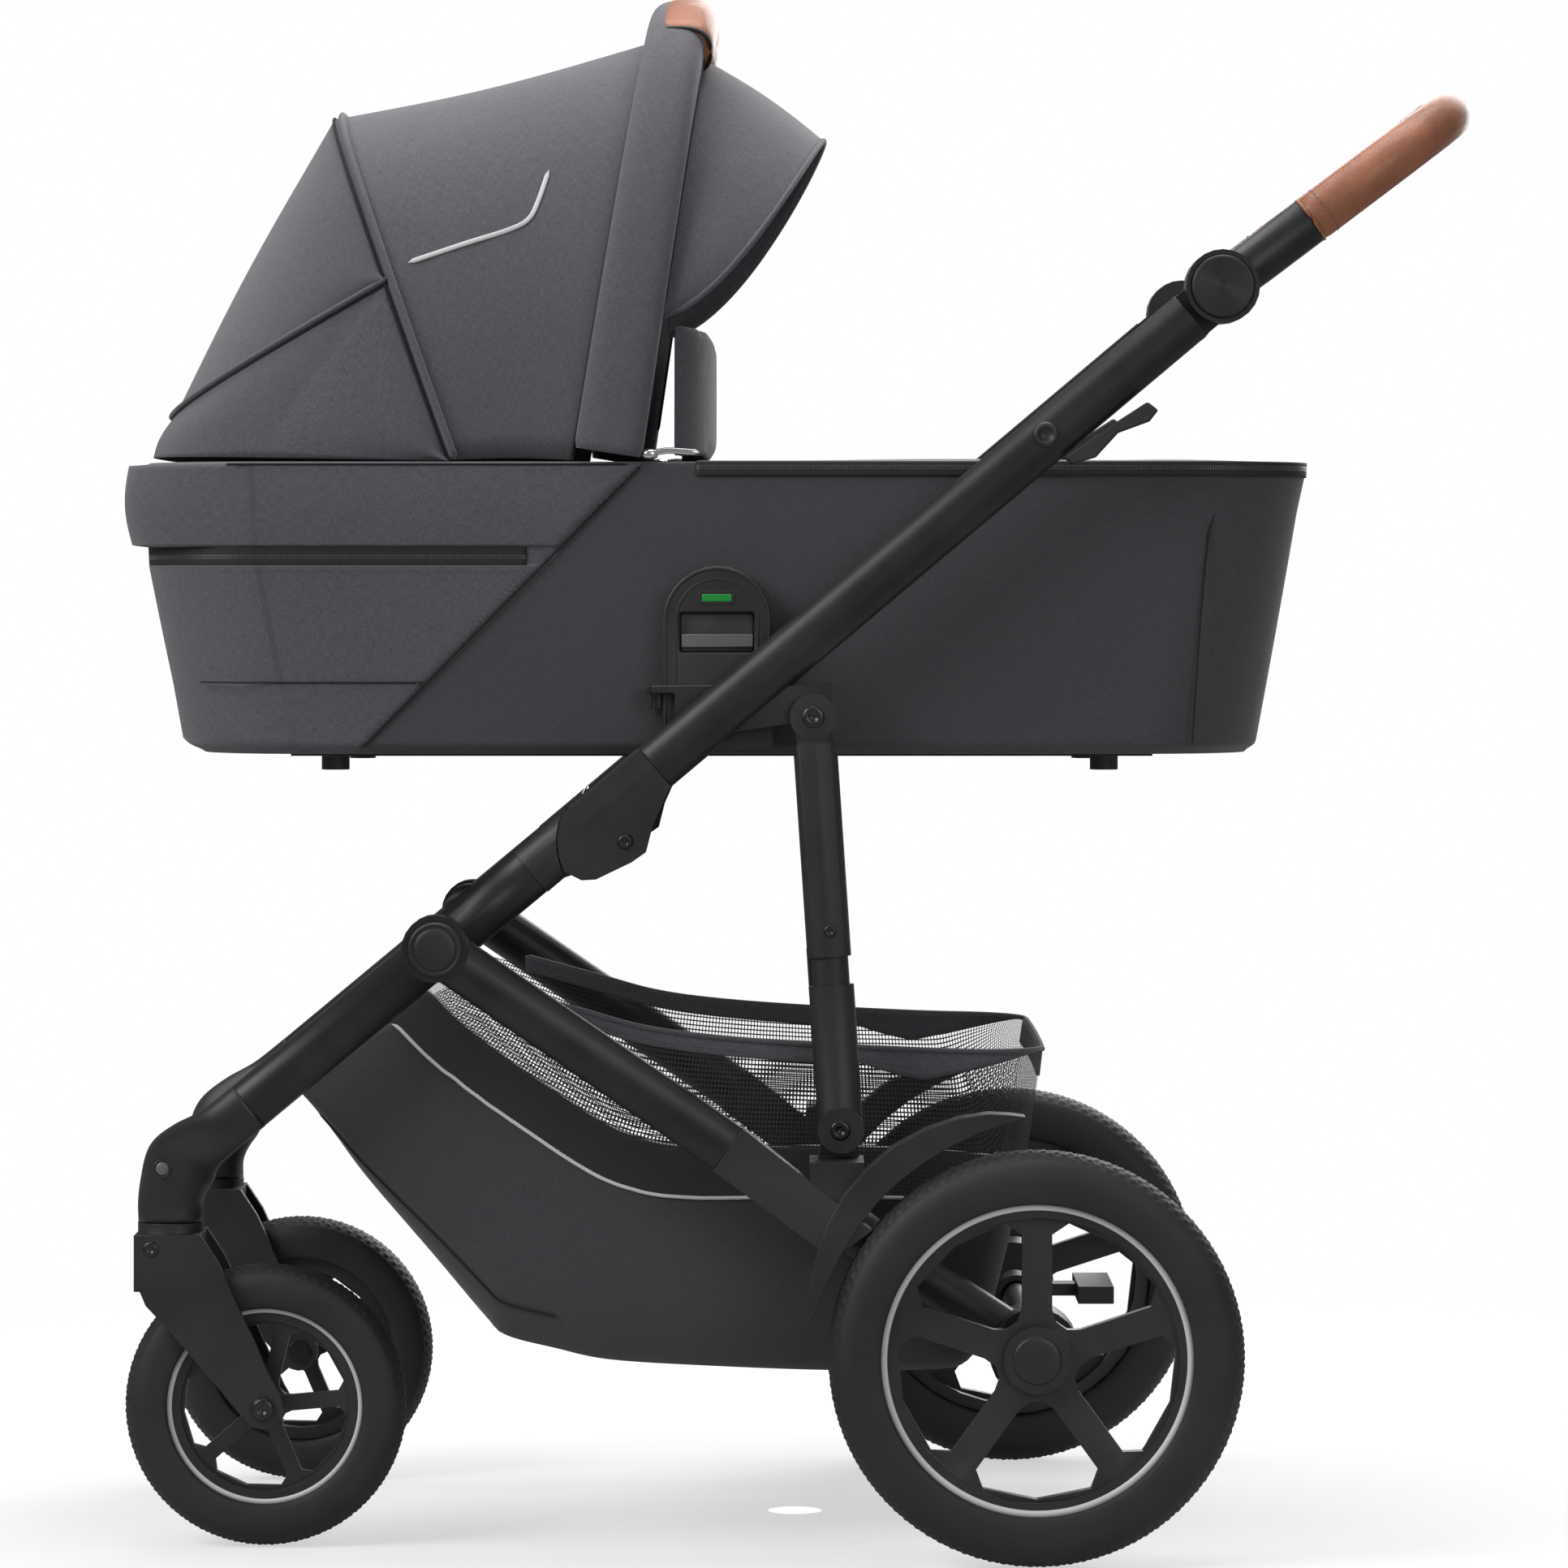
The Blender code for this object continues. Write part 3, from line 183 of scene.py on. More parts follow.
# %% Coated metal and moulded plastic
def grained(name, colour, roughness, metallic=0.0, grain=2600.0, depth=0.00012, mottle=0.35, coat=0.0):
    """A hard finish: colour and roughness drift slowly, and a fine noise makes the grain."""
    finish = Finish(name, colour, roughness, metallic, coat=coat)
    slow, fine = finish.noise(14.0, 4.0), finish.noise(grain, 2.0)
    dark = tuple(value * (1.0 - mottle) for value in colour)
    light = tuple(value * (1.0 + mottle) for value in colour)
    finish.feed("Base Color", finish.mix(slow.band(0.3, 0.7), dark, light))
    finish.feed("Roughness", fine * 0.14 + slow * 0.08 + (roughness - 0.11))
    finish.feed("Normal", finish.bump(fine, depth, 0.55))
    return finish.material


COATED = grained("satin black coat", (0.022, 0.022, 0.0235), 0.40, metallic=0.35, grain=3800, depth=0.00006)
NYLON = grained("moulded black nylon", (0.017, 0.017, 0.018), 0.47)
WHEEL_NYLON = grained("wheel nylon", (0.019, 0.019, 0.020), 0.42, grain=1800, depth=0.0001)
GREY_NYLON = grained("grey nylon", (0.13, 0.13, 0.135), 0.42, mottle=0.12)
DARK_STEEL = grained("dark steel", (0.05, 0.05, 0.052), 0.28, metallic=0.9, mottle=0.2)
BRIGHT_STEEL = grained("zip steel", (0.72, 0.72, 0.74), 0.20, metallic=1.0, mottle=0.08, grain=900)
REFLECTIVE = grained("reflective tape", (0.66, 0.66, 0.67), 0.36, mottle=0.06, grain=5200)
GREEN = grained("green indicator", (0.0, 0.30, 0.035), 0.30, mottle=0.1, coat=0.5)
# Painted shadow: near-black cords laid in seams and folds stand for the shade in their grooves.
SEAM_SHADOW = grained("seam shadow", (0.010, 0.010, 0.011), 0.9, mottle=0.1)
print("hard finishes ready")

# %% [markdown]
# ## Cloth
#
# The covers are a melange weave: dark and light yarns about half a millimetre apart, seen as small flecks.
# Two sine waves across each other give the over-and-under of a plain weave; noise stretched along each yarn
# breaks it up. The pattern reads the cloth's own flat coordinates, in metres, so it follows the cloth round a
# bend.


# %% Woven cloth
def woven(name, dark, light, yarn=0.0008, depth=0.00022, roughness=0.86, sheen=0.25):
    """Cloth in its own UV metres: two crossed sines for the weave, with flecks stretched along each yarn."""
    finish = Finish(name, light, roughness, sheen=sheen)
    u, v, _ = finish.axes("UV")
    turn = math.tau / (2.0 * yarn)
    weave = (u * turn).sine() * (v * turn).sine() * 0.5 + 0.5
    warp = finish.noise(1.0, 2.0, "UV", (1.0 / yarn, 0.10 / yarn, 1.0))
    weft = finish.noise(1.0, 2.0, "UV", (0.10 / yarn, 1.0 / yarn, 1.0))
    fleck = warp * 0.5 + weft * 0.5
    slow = finish.noise(7.0, 3.0)
    # The point attribute read here darkens the cloth where it is 1: partly a darker cloth panel, partly painted
    # shade.
    panel_and_shade = finish.node("ShaderNodeAttribute", {"attribute_name": "panel_and_shade"}, output=2)
    amount = fleck.band(0.28, 0.72) * 0.5 + weave * 0.25 + slow * 0.25
    finish.feed("Base Color", finish.mix(amount * (1.0 - panel_and_shade * 0.62), dark, light))
    finish.feed("Roughness", weave * 0.08 + (roughness - 0.05))
    creases = finish.noise(16.0, 3.0)
    folds = finish.bump(creases, 0.004, 0.35)
    finish.feed("Normal", finish.bump(weave * 0.7 + fleck * 0.6, depth, 0.8, folds))
    return finish.material


MELANGE = woven("grey melange weave", (0.026, 0.025, 0.030), (0.142, 0.134, 0.155), yarn=0.0006)
BASKET_CLOTH = woven("basket cloth", (0.024, 0.022, 0.026), (0.066, 0.062, 0.072), yarn=0.0005)
LINING = woven("black lining", (0.008, 0.008, 0.009), (0.030, 0.030, 0.033), yarn=0.0006, sheen=0.1)
TICKING = woven("mattress ticking", (0.42, 0.42, 0.41), (0.62, 0.62, 0.60), yarn=0.0009, sheen=0.2)
THREAD = grained("grey thread", (0.10, 0.098, 0.108), 0.7, grain=6000, mottle=0.2)


# %% See-through mesh and zip tape
def netting(name, colour, pitch=0.0026, bar=0.30):
    """A knitted net: alpha is 1 on two families of threads in UV metres, and 0 in the holes between them."""
    finish = Finish(name, colour, 0.75, sheen=0.1)
    u, v, _ = finish.axes("UV")
    across = (u * (1.0 / pitch) + v * (0.5 / pitch)).fraction() < bar
    along = (v * (0.87 / pitch)).fraction() < bar
    threads = across.math("MAXIMUM", along)
    finish.feed("Alpha", threads)
    finish.feed("Base Color", finish.mix(finish.noise(900.0), colour, tuple(c * 2.2 for c in colour)))
    return finish.material


def zipped(name):
    """Zip tape in UV metres: a ribbed black tape with a row of coils down its middle."""
    finish = Finish(name, (0.010, 0.010, 0.011), 0.55)
    u, v, _ = finish.axes("UV")
    coils = (u * (1.0 / 0.0018)).fraction().band(0.25, 0.55)
    middle = 1.0 - (v - 0.006).math("ABSOLUTE").band(0.0013, 0.0021)
    ribs = (v * (math.tau / 0.0011)).sine() * 0.5 + 0.5
    finish.feed("Base Color", finish.mix(middle * coils, (0.010, 0.010, 0.011), (0.05, 0.05, 0.052)))
    finish.feed("Roughness", 0.7 - middle * 0.35)
    finish.feed("Normal", finish.bump(middle * coils * 1.5 + ribs * 0.25, 0.0004, 0.9))
    return finish.material


NET = netting("basket net", (0.012, 0.012, 0.013))
ZIP = zipped("black zip")


# %% [markdown]
# ## Leather and rubber
#
# The grips are tan leather: cells of a Voronoi pattern give the pebbled grain, noise gives the handled darker
# patches. The tyres are a dull black rubber with a very fine texture; their tread is real geometry.


# %% Leather and rubber
def hide(name, dark, light):
    """Leather: a Voronoi grain under slow patches of colour."""
    finish = Finish(name, light, 0.42, coat=0.08)
    cells = finish.node("ShaderNodeTexVoronoi", {"feature": "DISTANCE_TO_EDGE"},
                        {"Vector": finish.place(), "Scale": 620.0})
    patches, pores = finish.noise(24.0, 4.0), finish.noise(1500.0, 2.0)
    finish.feed("Base Color", finish.mix((patches * 0.8 + cells * 0.4).band(0.25, 0.75), dark, light))
    finish.feed("Roughness", patches * 0.18 + pores * 0.12 + 0.30)
    finish.feed("Normal", finish.bump(cells.band(0.0, 0.12) + pores * 0.3, 0.00022, 0.6))
    return finish.material


LEATHER = hide("tan leather", (0.24, 0.078, 0.036), (0.42, 0.155, 0.078))
RUBBER = grained("tyre rubber", (0.0135, 0.0135, 0.014), 0.62, grain=1500, depth=0.00018, mottle=0.3)
print("cloth, leather and rubber ready")

# %% [markdown]
# ## Surfaces from arrays
#
# `skin` turns a grid of points into a mesh with one call: rows are carried along the first axis, and the
# faces are worked out as whole arrays. Its UVs are real distances along the grid, in metres, so a weave keeps
# its size.


# %% Grid surfaces
def skin(name, grid, material, closed_rows=False, closed_columns=False, inside=False, wall=0.0, panel_and_shade=None):
    """A mesh over grid, an array (rows, columns, 3). UVs are the mean lengths walked along rows and columns.

    The faces are turned to point away from the middle of the grid, or towards it where inside is true."""
    grid = np.asarray(grid, dtype=float)
    rows, columns = grid.shape[:2]
    index = np.arange(rows * columns).reshape(rows, columns)
    lower = np.vstack([index, index[:1]]) if closed_rows else index
    lower = np.hstack([lower, lower[:, :1]]) if closed_columns else lower
    quads = np.stack([lower[:-1, :-1], lower[1:, :-1], lower[1:, 1:], lower[:-1, 1:]], axis=-1).reshape(-1, 4)
    corners = grid.reshape(-1, 3)[quads]
    facing = np.cross(corners[:, 2] - corners[:, 0], corners[:, 3] - corners[:, 1])
    away = (facing * (corners.mean(axis=1) - grid.reshape(-1, 3).mean(axis=0))).sum()
    if (away < 0) != inside:
        quads = quads[:, ::-1]
    mesh = bpy.data.meshes.new(name)
    mesh.vertices.add(rows * columns)
    mesh.vertices.foreach_set("co", grid.reshape(-1))
    mesh.loops.add(quads.size)
    mesh.loops.foreach_set("vertex_index", quads.reshape(-1).astype(np.int32))
    mesh.polygons.add(len(quads))
    mesh.polygons.foreach_set("loop_start", np.arange(0, quads.size, 4, dtype=np.int32))
    mesh.update(calc_edges=True)
    steps_u = np.linalg.norm(np.diff(grid, axis=0), axis=2).mean(axis=1)
    steps_v = np.linalg.norm(np.diff(grid, axis=1), axis=2).mean(axis=0)
    u = np.concatenate([[0.0], np.cumsum(steps_u)])
    v = np.concatenate([[0.0], np.cumsum(steps_v)])
    flat = np.stack(np.meshgrid(u, v, indexing="ij"), axis=-1).reshape(-1, 2)
    layer = mesh.uv_layers.new(name="flat")
    layer.data.foreach_set("uv", flat[quads.reshape(-1)].reshape(-1))
    # A point attribute that darkens woven cloth: partly a darker cloth panel, partly painted shade.
    if panel_and_shade is not None:
        shade = mesh.attributes.new("panel_and_shade", "FLOAT", "POINT")
        shade.data.foreach_set("value", np.asarray(panel_and_shade, float).reshape(-1))
    obj = bpy.data.objects.new(name, mesh)
    bpy.context.collection.objects.link(obj)
    mesh.materials.append(material)
    mesh.shade_smooth()
    if wall:
        thick = obj.modifiers.new("wall", "SOLIDIFY")
        thick.thickness, thick.offset, thick.use_even_offset = abs(wall), -1.0 if wall > 0 else 1.0, False
    return obj


def arc_lengths(points):
    """How far along a line of points each point is."""
    return np.concatenate([[0.0], np.cumsum(np.linalg.norm(np.diff(points, axis=0), axis=1))])


def along(points, count, smooth=True):
    """count points evenly spaced along a line of points, on a Catmull-Rom curve where smooth is true.

    Columns after the first three are carried along with the points."""
    points = np.asarray(points, float)
    if smooth and len(points) > 2:
        t = np.linspace(0, len(points) - 1, 24 * len(points))
        n = np.clip(t.astype(int), 0, len(points) - 2)
        f = (t - n)[:, None]
        padded = np.vstack([2 * points[0] - points[1], points, 2 * points[-1] - points[-2]])
        p0, p1, p2, p3 = padded[n], padded[n + 1], padded[n + 2], padded[n + 3]
        points = 0.5 * (2 * p1 + (p2 - p0) * f + (2 * p0 - 5 * p1 + 4 * p2 - p3) * f ** 2
                        + (3 * p1 - p0 - 3 * p2 + p3) * f ** 3)
    walked = arc_lengths(points[:, :3])
    wanted = np.linspace(0, walked[-1], count)
    return np.stack([np.interp(wanted, walked, column) for column in points.T], axis=1)


def frames(path):
    """Unit tangent and two unit vectors across it at each point, from the axis the path never runs along."""
    tangent = np.gradient(path, axis=0)
    tangent /= np.linalg.norm(tangent, axis=1, keepdims=True) + 1e-12
    guide = np.eye(3)[np.argmin(np.abs(tangent).max(axis=0))]
    side = np.cross(tangent, guide)
    side /= np.linalg.norm(side, axis=1, keepdims=True) + 1e-12
    return tangent, side, np.cross(tangent, side)


def cord_along(name, path, radius, material, sides=8, count=None, flat=1.0):
    """A thin closed tube along a path: an ellipse, flat times as thick as wide, with its ends drawn out."""
    path = along(path, count or max(12, int(arc_lengths(np.asarray(path))[-1] / 0.004)), smooth=False)
    _, side, up = frames(path)
    angle = np.linspace(0, math.tau, sides, endpoint=False)
    size = np.full(len(path), radius)
    size[0] = size[-1] = radius * 0.05
    ring = side[:, None] * np.cos(angle)[None, :, None] + flat * up[:, None] * np.sin(angle)[None, :, None]
    return skin(name, path[:, None] + ring * size[:, None, None], material, closed_columns=True)


def stitches(name, path, normal, material=THREAD, pitch=0.0042, length=0.0029, width=0.0007):
    """A row of stitches along a path: one small eight-sided bead a stitch, made all together as arrays."""
    path = np.asarray(path, float)
    total = arc_lengths(path)[-1]
    count = max(2, int(total / pitch))
    dense = along(path, 2 * count + 1, smooth=False)
    middle = dense[1::2]
    direction = dense[2::2] - dense[:-1:2]
    direction /= np.linalg.norm(direction, axis=1, keepdims=True) + 1e-12
    normal = np.broadcast_to(np.asarray(normal, float), middle.shape)
    across = np.cross(normal, direction)
    corners = np.array([(-1, 0, 0), (-0.6, -1, 0), (-0.6, 0, 1), (-0.6, 1, 0), (-0.6, 0, -1),
                        (0.6, -1, 0), (0.6, 0, 1), (0.6, 1, 0), (0.6, 0, -1), (1, 0, 0)], float)
    spread = (corners[None, :, 0:1] * direction[:, None] * length / 2
              + corners[None, :, 1:2] * across[:, None] * width / 2
              + corners[None, :, 2:3] * normal[:, None] * width / 2)
    points = (middle[:, None] + spread).reshape(-1, 3)
    faces = [(0, 1, 2), (0, 2, 3), (0, 3, 4), (0, 4, 1), (9, 6, 5), (9, 7, 6), (9, 8, 7), (9, 5, 8),
             (1, 5, 6, 2), (2, 6, 7, 3), (3, 7, 8, 4), (4, 8, 5, 1)]
    every = [tuple(v + 10 * n for v in face) for n in range(len(middle)) for face in faces]
    mesh = bpy.data.meshes.new(name)
    mesh.from_pydata(points.tolist(), [], every)
    mesh.materials.append(material)
    form = bmesh.new()
    form.from_mesh(mesh)
    bmesh.ops.recalc_face_normals(form, faces=form.faces)
    form.to_mesh(mesh)
    form.free()
    obj = bpy.data.objects.new(name, mesh)
    bpy.context.collection.objects.link(obj)
    return obj


def turned(name, centre, axis, profile, material, steps=48):
    """A piece of revolution: profile is (radius, height) pairs, carried round an axis through centre."""
    axis = np.asarray(axis, float) / np.linalg.norm(axis)
    first = np.cross(axis, (0.0, 0.0, 1.0) if abs(axis[2]) < 0.9 else (1.0, 0.0, 0.0))
    first /= np.linalg.norm(first)
    second = np.cross(axis, first)
    angle = np.linspace(0, math.tau, steps, endpoint=False)[:, None, None]
    profile = np.asarray(profile, float)[None]
    ring = np.cos(angle) * first + np.sin(angle) * second
    grid = np.asarray(centre, float) + profile[..., :1] * ring + profile[..., 1:] * axis
    return skin(name, grid, material, closed_rows=True)


print("surface helpers ready")

# %% [markdown]
# ## Hard pieces with softened edges
#
# A casting or a moulding never has a knife edge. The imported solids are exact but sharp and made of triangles,
# so each is copied, its flat triangles are merged back into faces, and a Bevel rounds what is left. The copy
# stands for the solid, and rides on the same body.


# %% Round off the frame's castings and tubes
OWNER = {node: body for body, nodes in frame["record"]["behaviour"]["bodies"].items() for node in nodes}
SLOT = {entry["node"]: entry["material_slot"] for entry in frame["record"]["subparts"]}


def settle(piece, body, slot, *nodes):
    """The piece rides on a body and stands for CAD nodes, which are hidden; slot is not used."""
    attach(piece, body)
    if nodes:
        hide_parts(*nodes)
    return piece


def softened(node, material, width=0.0012, smooth=40.0):
    """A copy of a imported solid: doubles merged, flat triangles dissolved, edges rounded by width metres."""
    form = bmesh.new()
    form.from_mesh(frame["nodes"][node].data)
    bmesh.ops.remove_doubles(form, verts=form.verts, dist=1e-5)
    bmesh.ops.dissolve_limit(form, angle_limit=math.radians(1.0), verts=form.verts, edges=form.edges)
    mesh = bpy.data.meshes.new(f"{node}_skin")
    form.to_mesh(mesh)
    form.free()
    mesh.materials.clear()
    mesh.materials.append(material)
    mesh.shade_smooth()
    mesh.set_sharp_from_angle(angle=math.radians(smooth))
    piece = bpy.data.objects.new(f"{node}_skin", mesh)
    bpy.context.collection.objects.link(piece)
    if width:
        bevel = piece.modifiers.new("rounded", "BEVEL")
        bevel.width, bevel.segments, bevel.limit_method = width, 2, "ANGLE"
        bevel.angle_limit, bevel.use_clamp_overlap, bevel.harden_normals = math.radians(38), True, False
        bevel.miter_outer = "MITER_ARC"
    return settle(piece, OWNER[node], SLOT[node], node)


def cloth(piece, flat, rests_on, held="stretched"):
    """Measures a sheet cut from a flat piece of flat = (width, length), and prints its area beside the flat
    piece's.
    """
    area = sum(face.area for face in piece.data.polygons)
    print(piece.name, "is", round(area, 4), "square metres of", round(flat[0] * flat[1], 4))
    area = min(max(area, 0.3 * flat[0] * flat[1]), flat[0] * flat[1])


SIDES = (("near", -1.0), ("far", 1.0))
HARD = {"front_tube": (COATED, 0.0), "upper_tube": (COATED, 0.0012), "rear_leg": (COATED, 0.001),
        "fold_eye": (NYLON, 0.001), "fold_housing": (NYLON, 0.002), "cot_receiver": (NYLON, 0.001),
        "leg_pivot_cap": (NYLON, 0.0015), "leg_casting": (NYLON, 0.0026), "strut_upper": (NYLON, 0.0012),
        "strut_lower": (NYLON, 0.0015), "caster_fork": (NYLON, 0.0022), "tilt_button": (NYLON, 0.0008),
        "release_lever": (NYLON, 0.0015), "cot_dock": (NYLON, 0.0015), "front_rim": (WHEEL_NYLON, 0.0012),
        "rear_rim": (WHEEL_NYLON, 0.003), "swivel_lock_button": (GREY_NYLON, 0.0008),
        "dock_latch": (GREY_NYLON, 0.0008), "suspension_arm": (NYLON, 0.001),
        "front_axle_bolt": (DARK_STEEL, 0.0006)}
for family, (material, width) in HARD.items():
    for side, _ in SIDES:
        softened(f"{family}_{side}", material, width)
for node, material, width in (("rear_axle", COATED, 0.0), ("front_cross_bar", COATED, 0.0),
                              ("handle_bar", COATED, 0.0015), ("brake_pedal", NYLON, 0.002),
                              ("cot_base", NYLON, 0.001)):
    softened(node, material, width)
print("softened", 2 * len(HARD) + 5, "hard pieces")


# %% The castings that turn the main tubes down to the front wheels
def swept(name, stations, material, power=0.86):
    """A closed casting through stations (x, y, z, up x, up z, depth, width), with super-ellipse sections."""
    line = along(stations, 44)
    up = np.stack([line[:, 3], 0 * line[:, 3], line[:, 4]], 1)
    up /= np.linalg.norm(up, axis=1, keepdims=True)
    turn = np.linspace(0, math.tau, 48, endpoint=False)
    c, s = np.cos(turn), np.sin(turn)
    c, s = np.sign(c) * np.abs(c) ** power, np.sign(s) * np.abs(s) ** power
    size = np.full(len(line) + 4, 1.0)
    size[:2], size[-2:] = (0.02, 0.94), (0.94, 0.02)
    line = np.vstack([line[:1], line[:1], line, line[-1:], line[-1:]])
    up = np.vstack([up[:1], up[:1], up, up[-1:], up[-1:]])
    grid = (line[:, None, :3] + up[:, None] * (line[:, 5:6] / 2 * c * size[:, None])[..., None]
            + np.array([0.0, 1.0, 0.0]) * (line[:, 6:7] / 2 * s * size[:, None])[..., None])
    return skin(name, grid, material, closed_columns=True), grid


for side, sign in SIDES:
    stations = [(-0.3838, 0.2350, 0.3177, -0.629, 0.777, 0.0362, 0.0242),
                (-0.4060, 0.2300, 0.2995, -0.640, 0.768, 0.0375, 0.0255),
                (-0.4235, 0.2110, 0.2870, -0.720, 0.690, 0.0440, 0.0310),
                (-0.4350, 0.1910, 0.2740, -0.880, 0.470, 0.0520, 0.0350),
                (-0.4415, 0.1785, 0.2580, -0.985, 0.170, 0.0490, 0.0410),
                (-0.4450, 0.1718, 0.2440, -1.0, 0.030, 0.0465, 0.0450),
                (-0.4450, 0.1710, 0.2308, -1.0, 0.0, 0.0460, 0.0460)]
    stations = np.array(stations) * [1, sign, 1, 1, 1, 1, 1]
    knuckle, knuckle_grid = swept(f"knuckle_{side}", stations, NYLON)
    settle(knuckle, "front_frame", "black_plastic", f"front_knuckle_{side}")
    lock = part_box(f"swivel_lock_button_{side}")
    at = [(lock[0][n] + lock[1][n]) / 2 for n in range(3)]
    close = knuckle_grid.reshape(-1, 3)
    near_lock = np.hypot(close[:, 0] - at[0], close[:, 2] - at[2]) < 0.006
    close = close[near_lock & (close[:, 1] * sign > at[1] * sign - 0.01)]
    seat = float((close[:, 1] * sign).max()) * sign
    print("lock button", side, "from", round(lock[0][1], 4), "to", round(lock[1][1], 4), "surface",
          round(seat, 4))
    dome = [(0.0001, 0.0014), (0.0030, 0.0012), (0.0046, 0.0006), (0.0051, -0.0008), (0.0051, -0.004)]
    settle(turned(f"lock_dome_{side}", (at[0], seat, at[2]), (0, sign, 0), dome, GREY_NYLON, 32),
           f"swivel_lock_{side}", "grey_plastic")
    collar = [(0.0052, -0.003), (0.0054, 0.0004), (0.0062, 0.0006), (0.0068, -0.0004), (0.0068, -0.003)]
    settle(turned(f"lock_collar_{side}", (at[0], seat, at[2]), (0, sign, 0), collar, NYLON, 32),
           "front_frame", "black_plastic")

# %% [markdown]
# ## Wheels
#
# An air tyre is a ring of revolution. Its crown carries rows of small oval pips, so the radius is a smooth
# profile plus a bump wherever a wave round the wheel and a wave across the tyre are both high. A strip of
# reflective tape lies on the edge of each rim.


# %% Tyres with a tread, and the rings on the rims
def tyre(name, centre, radius, inner, width, pips, material=RUBBER):
    """A ring of revolution: a super-ellipse section, with pips ovals a turn on its crown."""
    half = width / 2
    around = np.linspace(0, math.tau, pips * 6, endpoint=False)[:, None]
    section = np.linspace(-math.pi * 0.86, math.pi * 0.86, 61)[None, :]
    depth = radius - inner
    low = np.sign(np.sin(section)) * np.abs(np.sin(section)) ** 0.86 * half
    high = np.cos(section)
    reach = inner + depth * (0.36 + 0.64 * np.sign(high) * np.abs(high) ** 0.80)
    reach = np.maximum(reach, inner)
    across = low / half
    crown = np.clip((0.80 - np.abs(across)) / 0.12, 0, 1) * (high > 0)
    rows = np.cos(across * math.pi * 5.0)
    shift = np.where(rows > 0, 0.0, math.pi)
    ovals = np.clip(np.cos(around * pips + shift) * 1.4, 0, 1) * np.clip(np.abs(rows) * 1.5 - 0.25, 0, 1)
    reach = reach - 0.0011 * crown * (1.0 - ovals) + 0.0004 * crown
    points = np.stack([centre[0] + reach * np.cos(around), centre[1] + low + 0.0 * around,
                       centre[2] + reach * np.sin(around)], -1)
    return skin(name, points, material, closed_rows=True, closed_columns=True)


def ring(name, centre, radius, section, material=REFLECTIVE):
    """A flat band round a wheel: a small closed section of (radius, y) pairs carried round."""
    return turned(name, centre, (0, 1, 0), [(radius + r, y) for r, y in section], material, 128)


STEER_X, FRONT_TRACK, REAR_TRACK = -0.445, 0.342, 0.550
REAR_AXLE, FRONT_AXLE = (0.168, 0.0, 0.145), (-0.377, 0.0, 0.100)
for side, sign in SIDES:
    rear = (REAR_AXLE[0], sign * REAR_TRACK / 2, REAR_AXLE[2])
    low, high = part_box(f"rear_rim_{side}")
    rim = (high[0] - low[0]) / 2
    settle(tyre(f"tyre_rear_{side}", rear, 0.145, rim + 0.0003, 0.048, 96), f"rear_wheel_{side}", "rubber",
           f"rear_tyre_{side}")
    face = sign * 0.0152
    band = [(-0.0062, face), (-0.0058, face + sign * 0.0012), (-0.0014, face + sign * 0.0012),
            (-0.0010, face)]
    settle(ring(f"ring_rear_{side}", rear, rim + 0.0022, band), f"rear_wheel_{side}", "grey_plastic")
    front = (FRONT_AXLE[0], sign * FRONT_TRACK / 2, FRONT_AXLE[2])
    low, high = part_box(f"front_rim_{side}")
    rim_front = (high[0] - low[0]) / 2
    settle(tyre(f"tyre_front_{side}", front, 0.100, rim_front + 0.0003, 0.042, 72), f"front_wheel_{side}",
           "rubber",
           f"front_tyre_{side}")
    face = sign * 0.0122
    band = [(-0.0045, face), (-0.0041, face + sign * 0.0010), (-0.0010, face + sign * 0.0010),
            (-0.0006, face)]
    settle(ring(f"ring_front_{side}", front, rim_front + 0.0014, band), f"front_wheel_{side}", "grey_plastic")
print("rear rim radius", round(rim, 4), "front rim radius", round(rim_front, 4))

# %% [markdown]
# ## The carrycot's cover
#
# The tub is a rounded rectangle in plan that widens towards its rim. One grid covers it: columns go round the
# plan, rows go up. The head end wears a second layer, so inside the slanting seam the cloth stands a little
# proud, and the band above the zip bulges over it. The head end is lighter than the rest of the cover: partly
# a darker cloth panel on the rest, partly painted shade where the light falls off.

# %% Measurements of the cover
COT_RIGHT, COT_RIM, COT_BOTTOM = 0.369, 0.770, 0.5636
ZIP_LOW, ZIP_HIGH = 0.6985, 0.7106


def seam_x(z):
    """Where the slanting seam is at height z: it falls from the arch's foot back towards the head end."""
    return -0.1115 + (z - 0.767) * 0.987


def ease(value, low, high):
    """0 below low, 1 above high, and a smooth cubic between."""
    t = np.clip((value - low) / (high - low), 0, 1)
    return t * t * (3 - 2 * t)


def plan(left, right, half, corner, inset=0.0):
    """A rounded rectangle in plan, anticlockwise from the near side's head end, as 520 points (x, y)."""
    left, right, half = left + inset, right - inset, half - inset
    corner = max(corner - inset, 0.012)
    quarter = np.linspace(0, math.pi / 2, 29)[1:]
    side = np.linspace(left + corner, right - corner, 180)
    end = np.linspace(-half + corner, half - corner, 26)[1:]
    parts = [np.stack([side, np.full_like(side, -half)], 1),
             np.stack([right - corner + corner * np.sin(quarter),
                       -half + corner - corner * np.cos(quarter)], 1),
             np.stack([np.full_like(end, right), end], 1),
             np.stack([right - corner + corner * np.cos(quarter),
                       half - corner + corner * np.sin(quarter)], 1),
             np.stack([side[::-1][1:], np.full(179, half)], 1),
             np.stack([left + corner - corner * np.sin(quarter),
                       half - corner + corner * np.cos(quarter)], 1),
             np.stack([np.full_like(end, left), -end], 1),
             np.stack([left + corner - corner * np.cos(quarter), -half + corner - corner * np.sin(quarter)],
                      1)[:-1]]
    return np.vstack(parts)


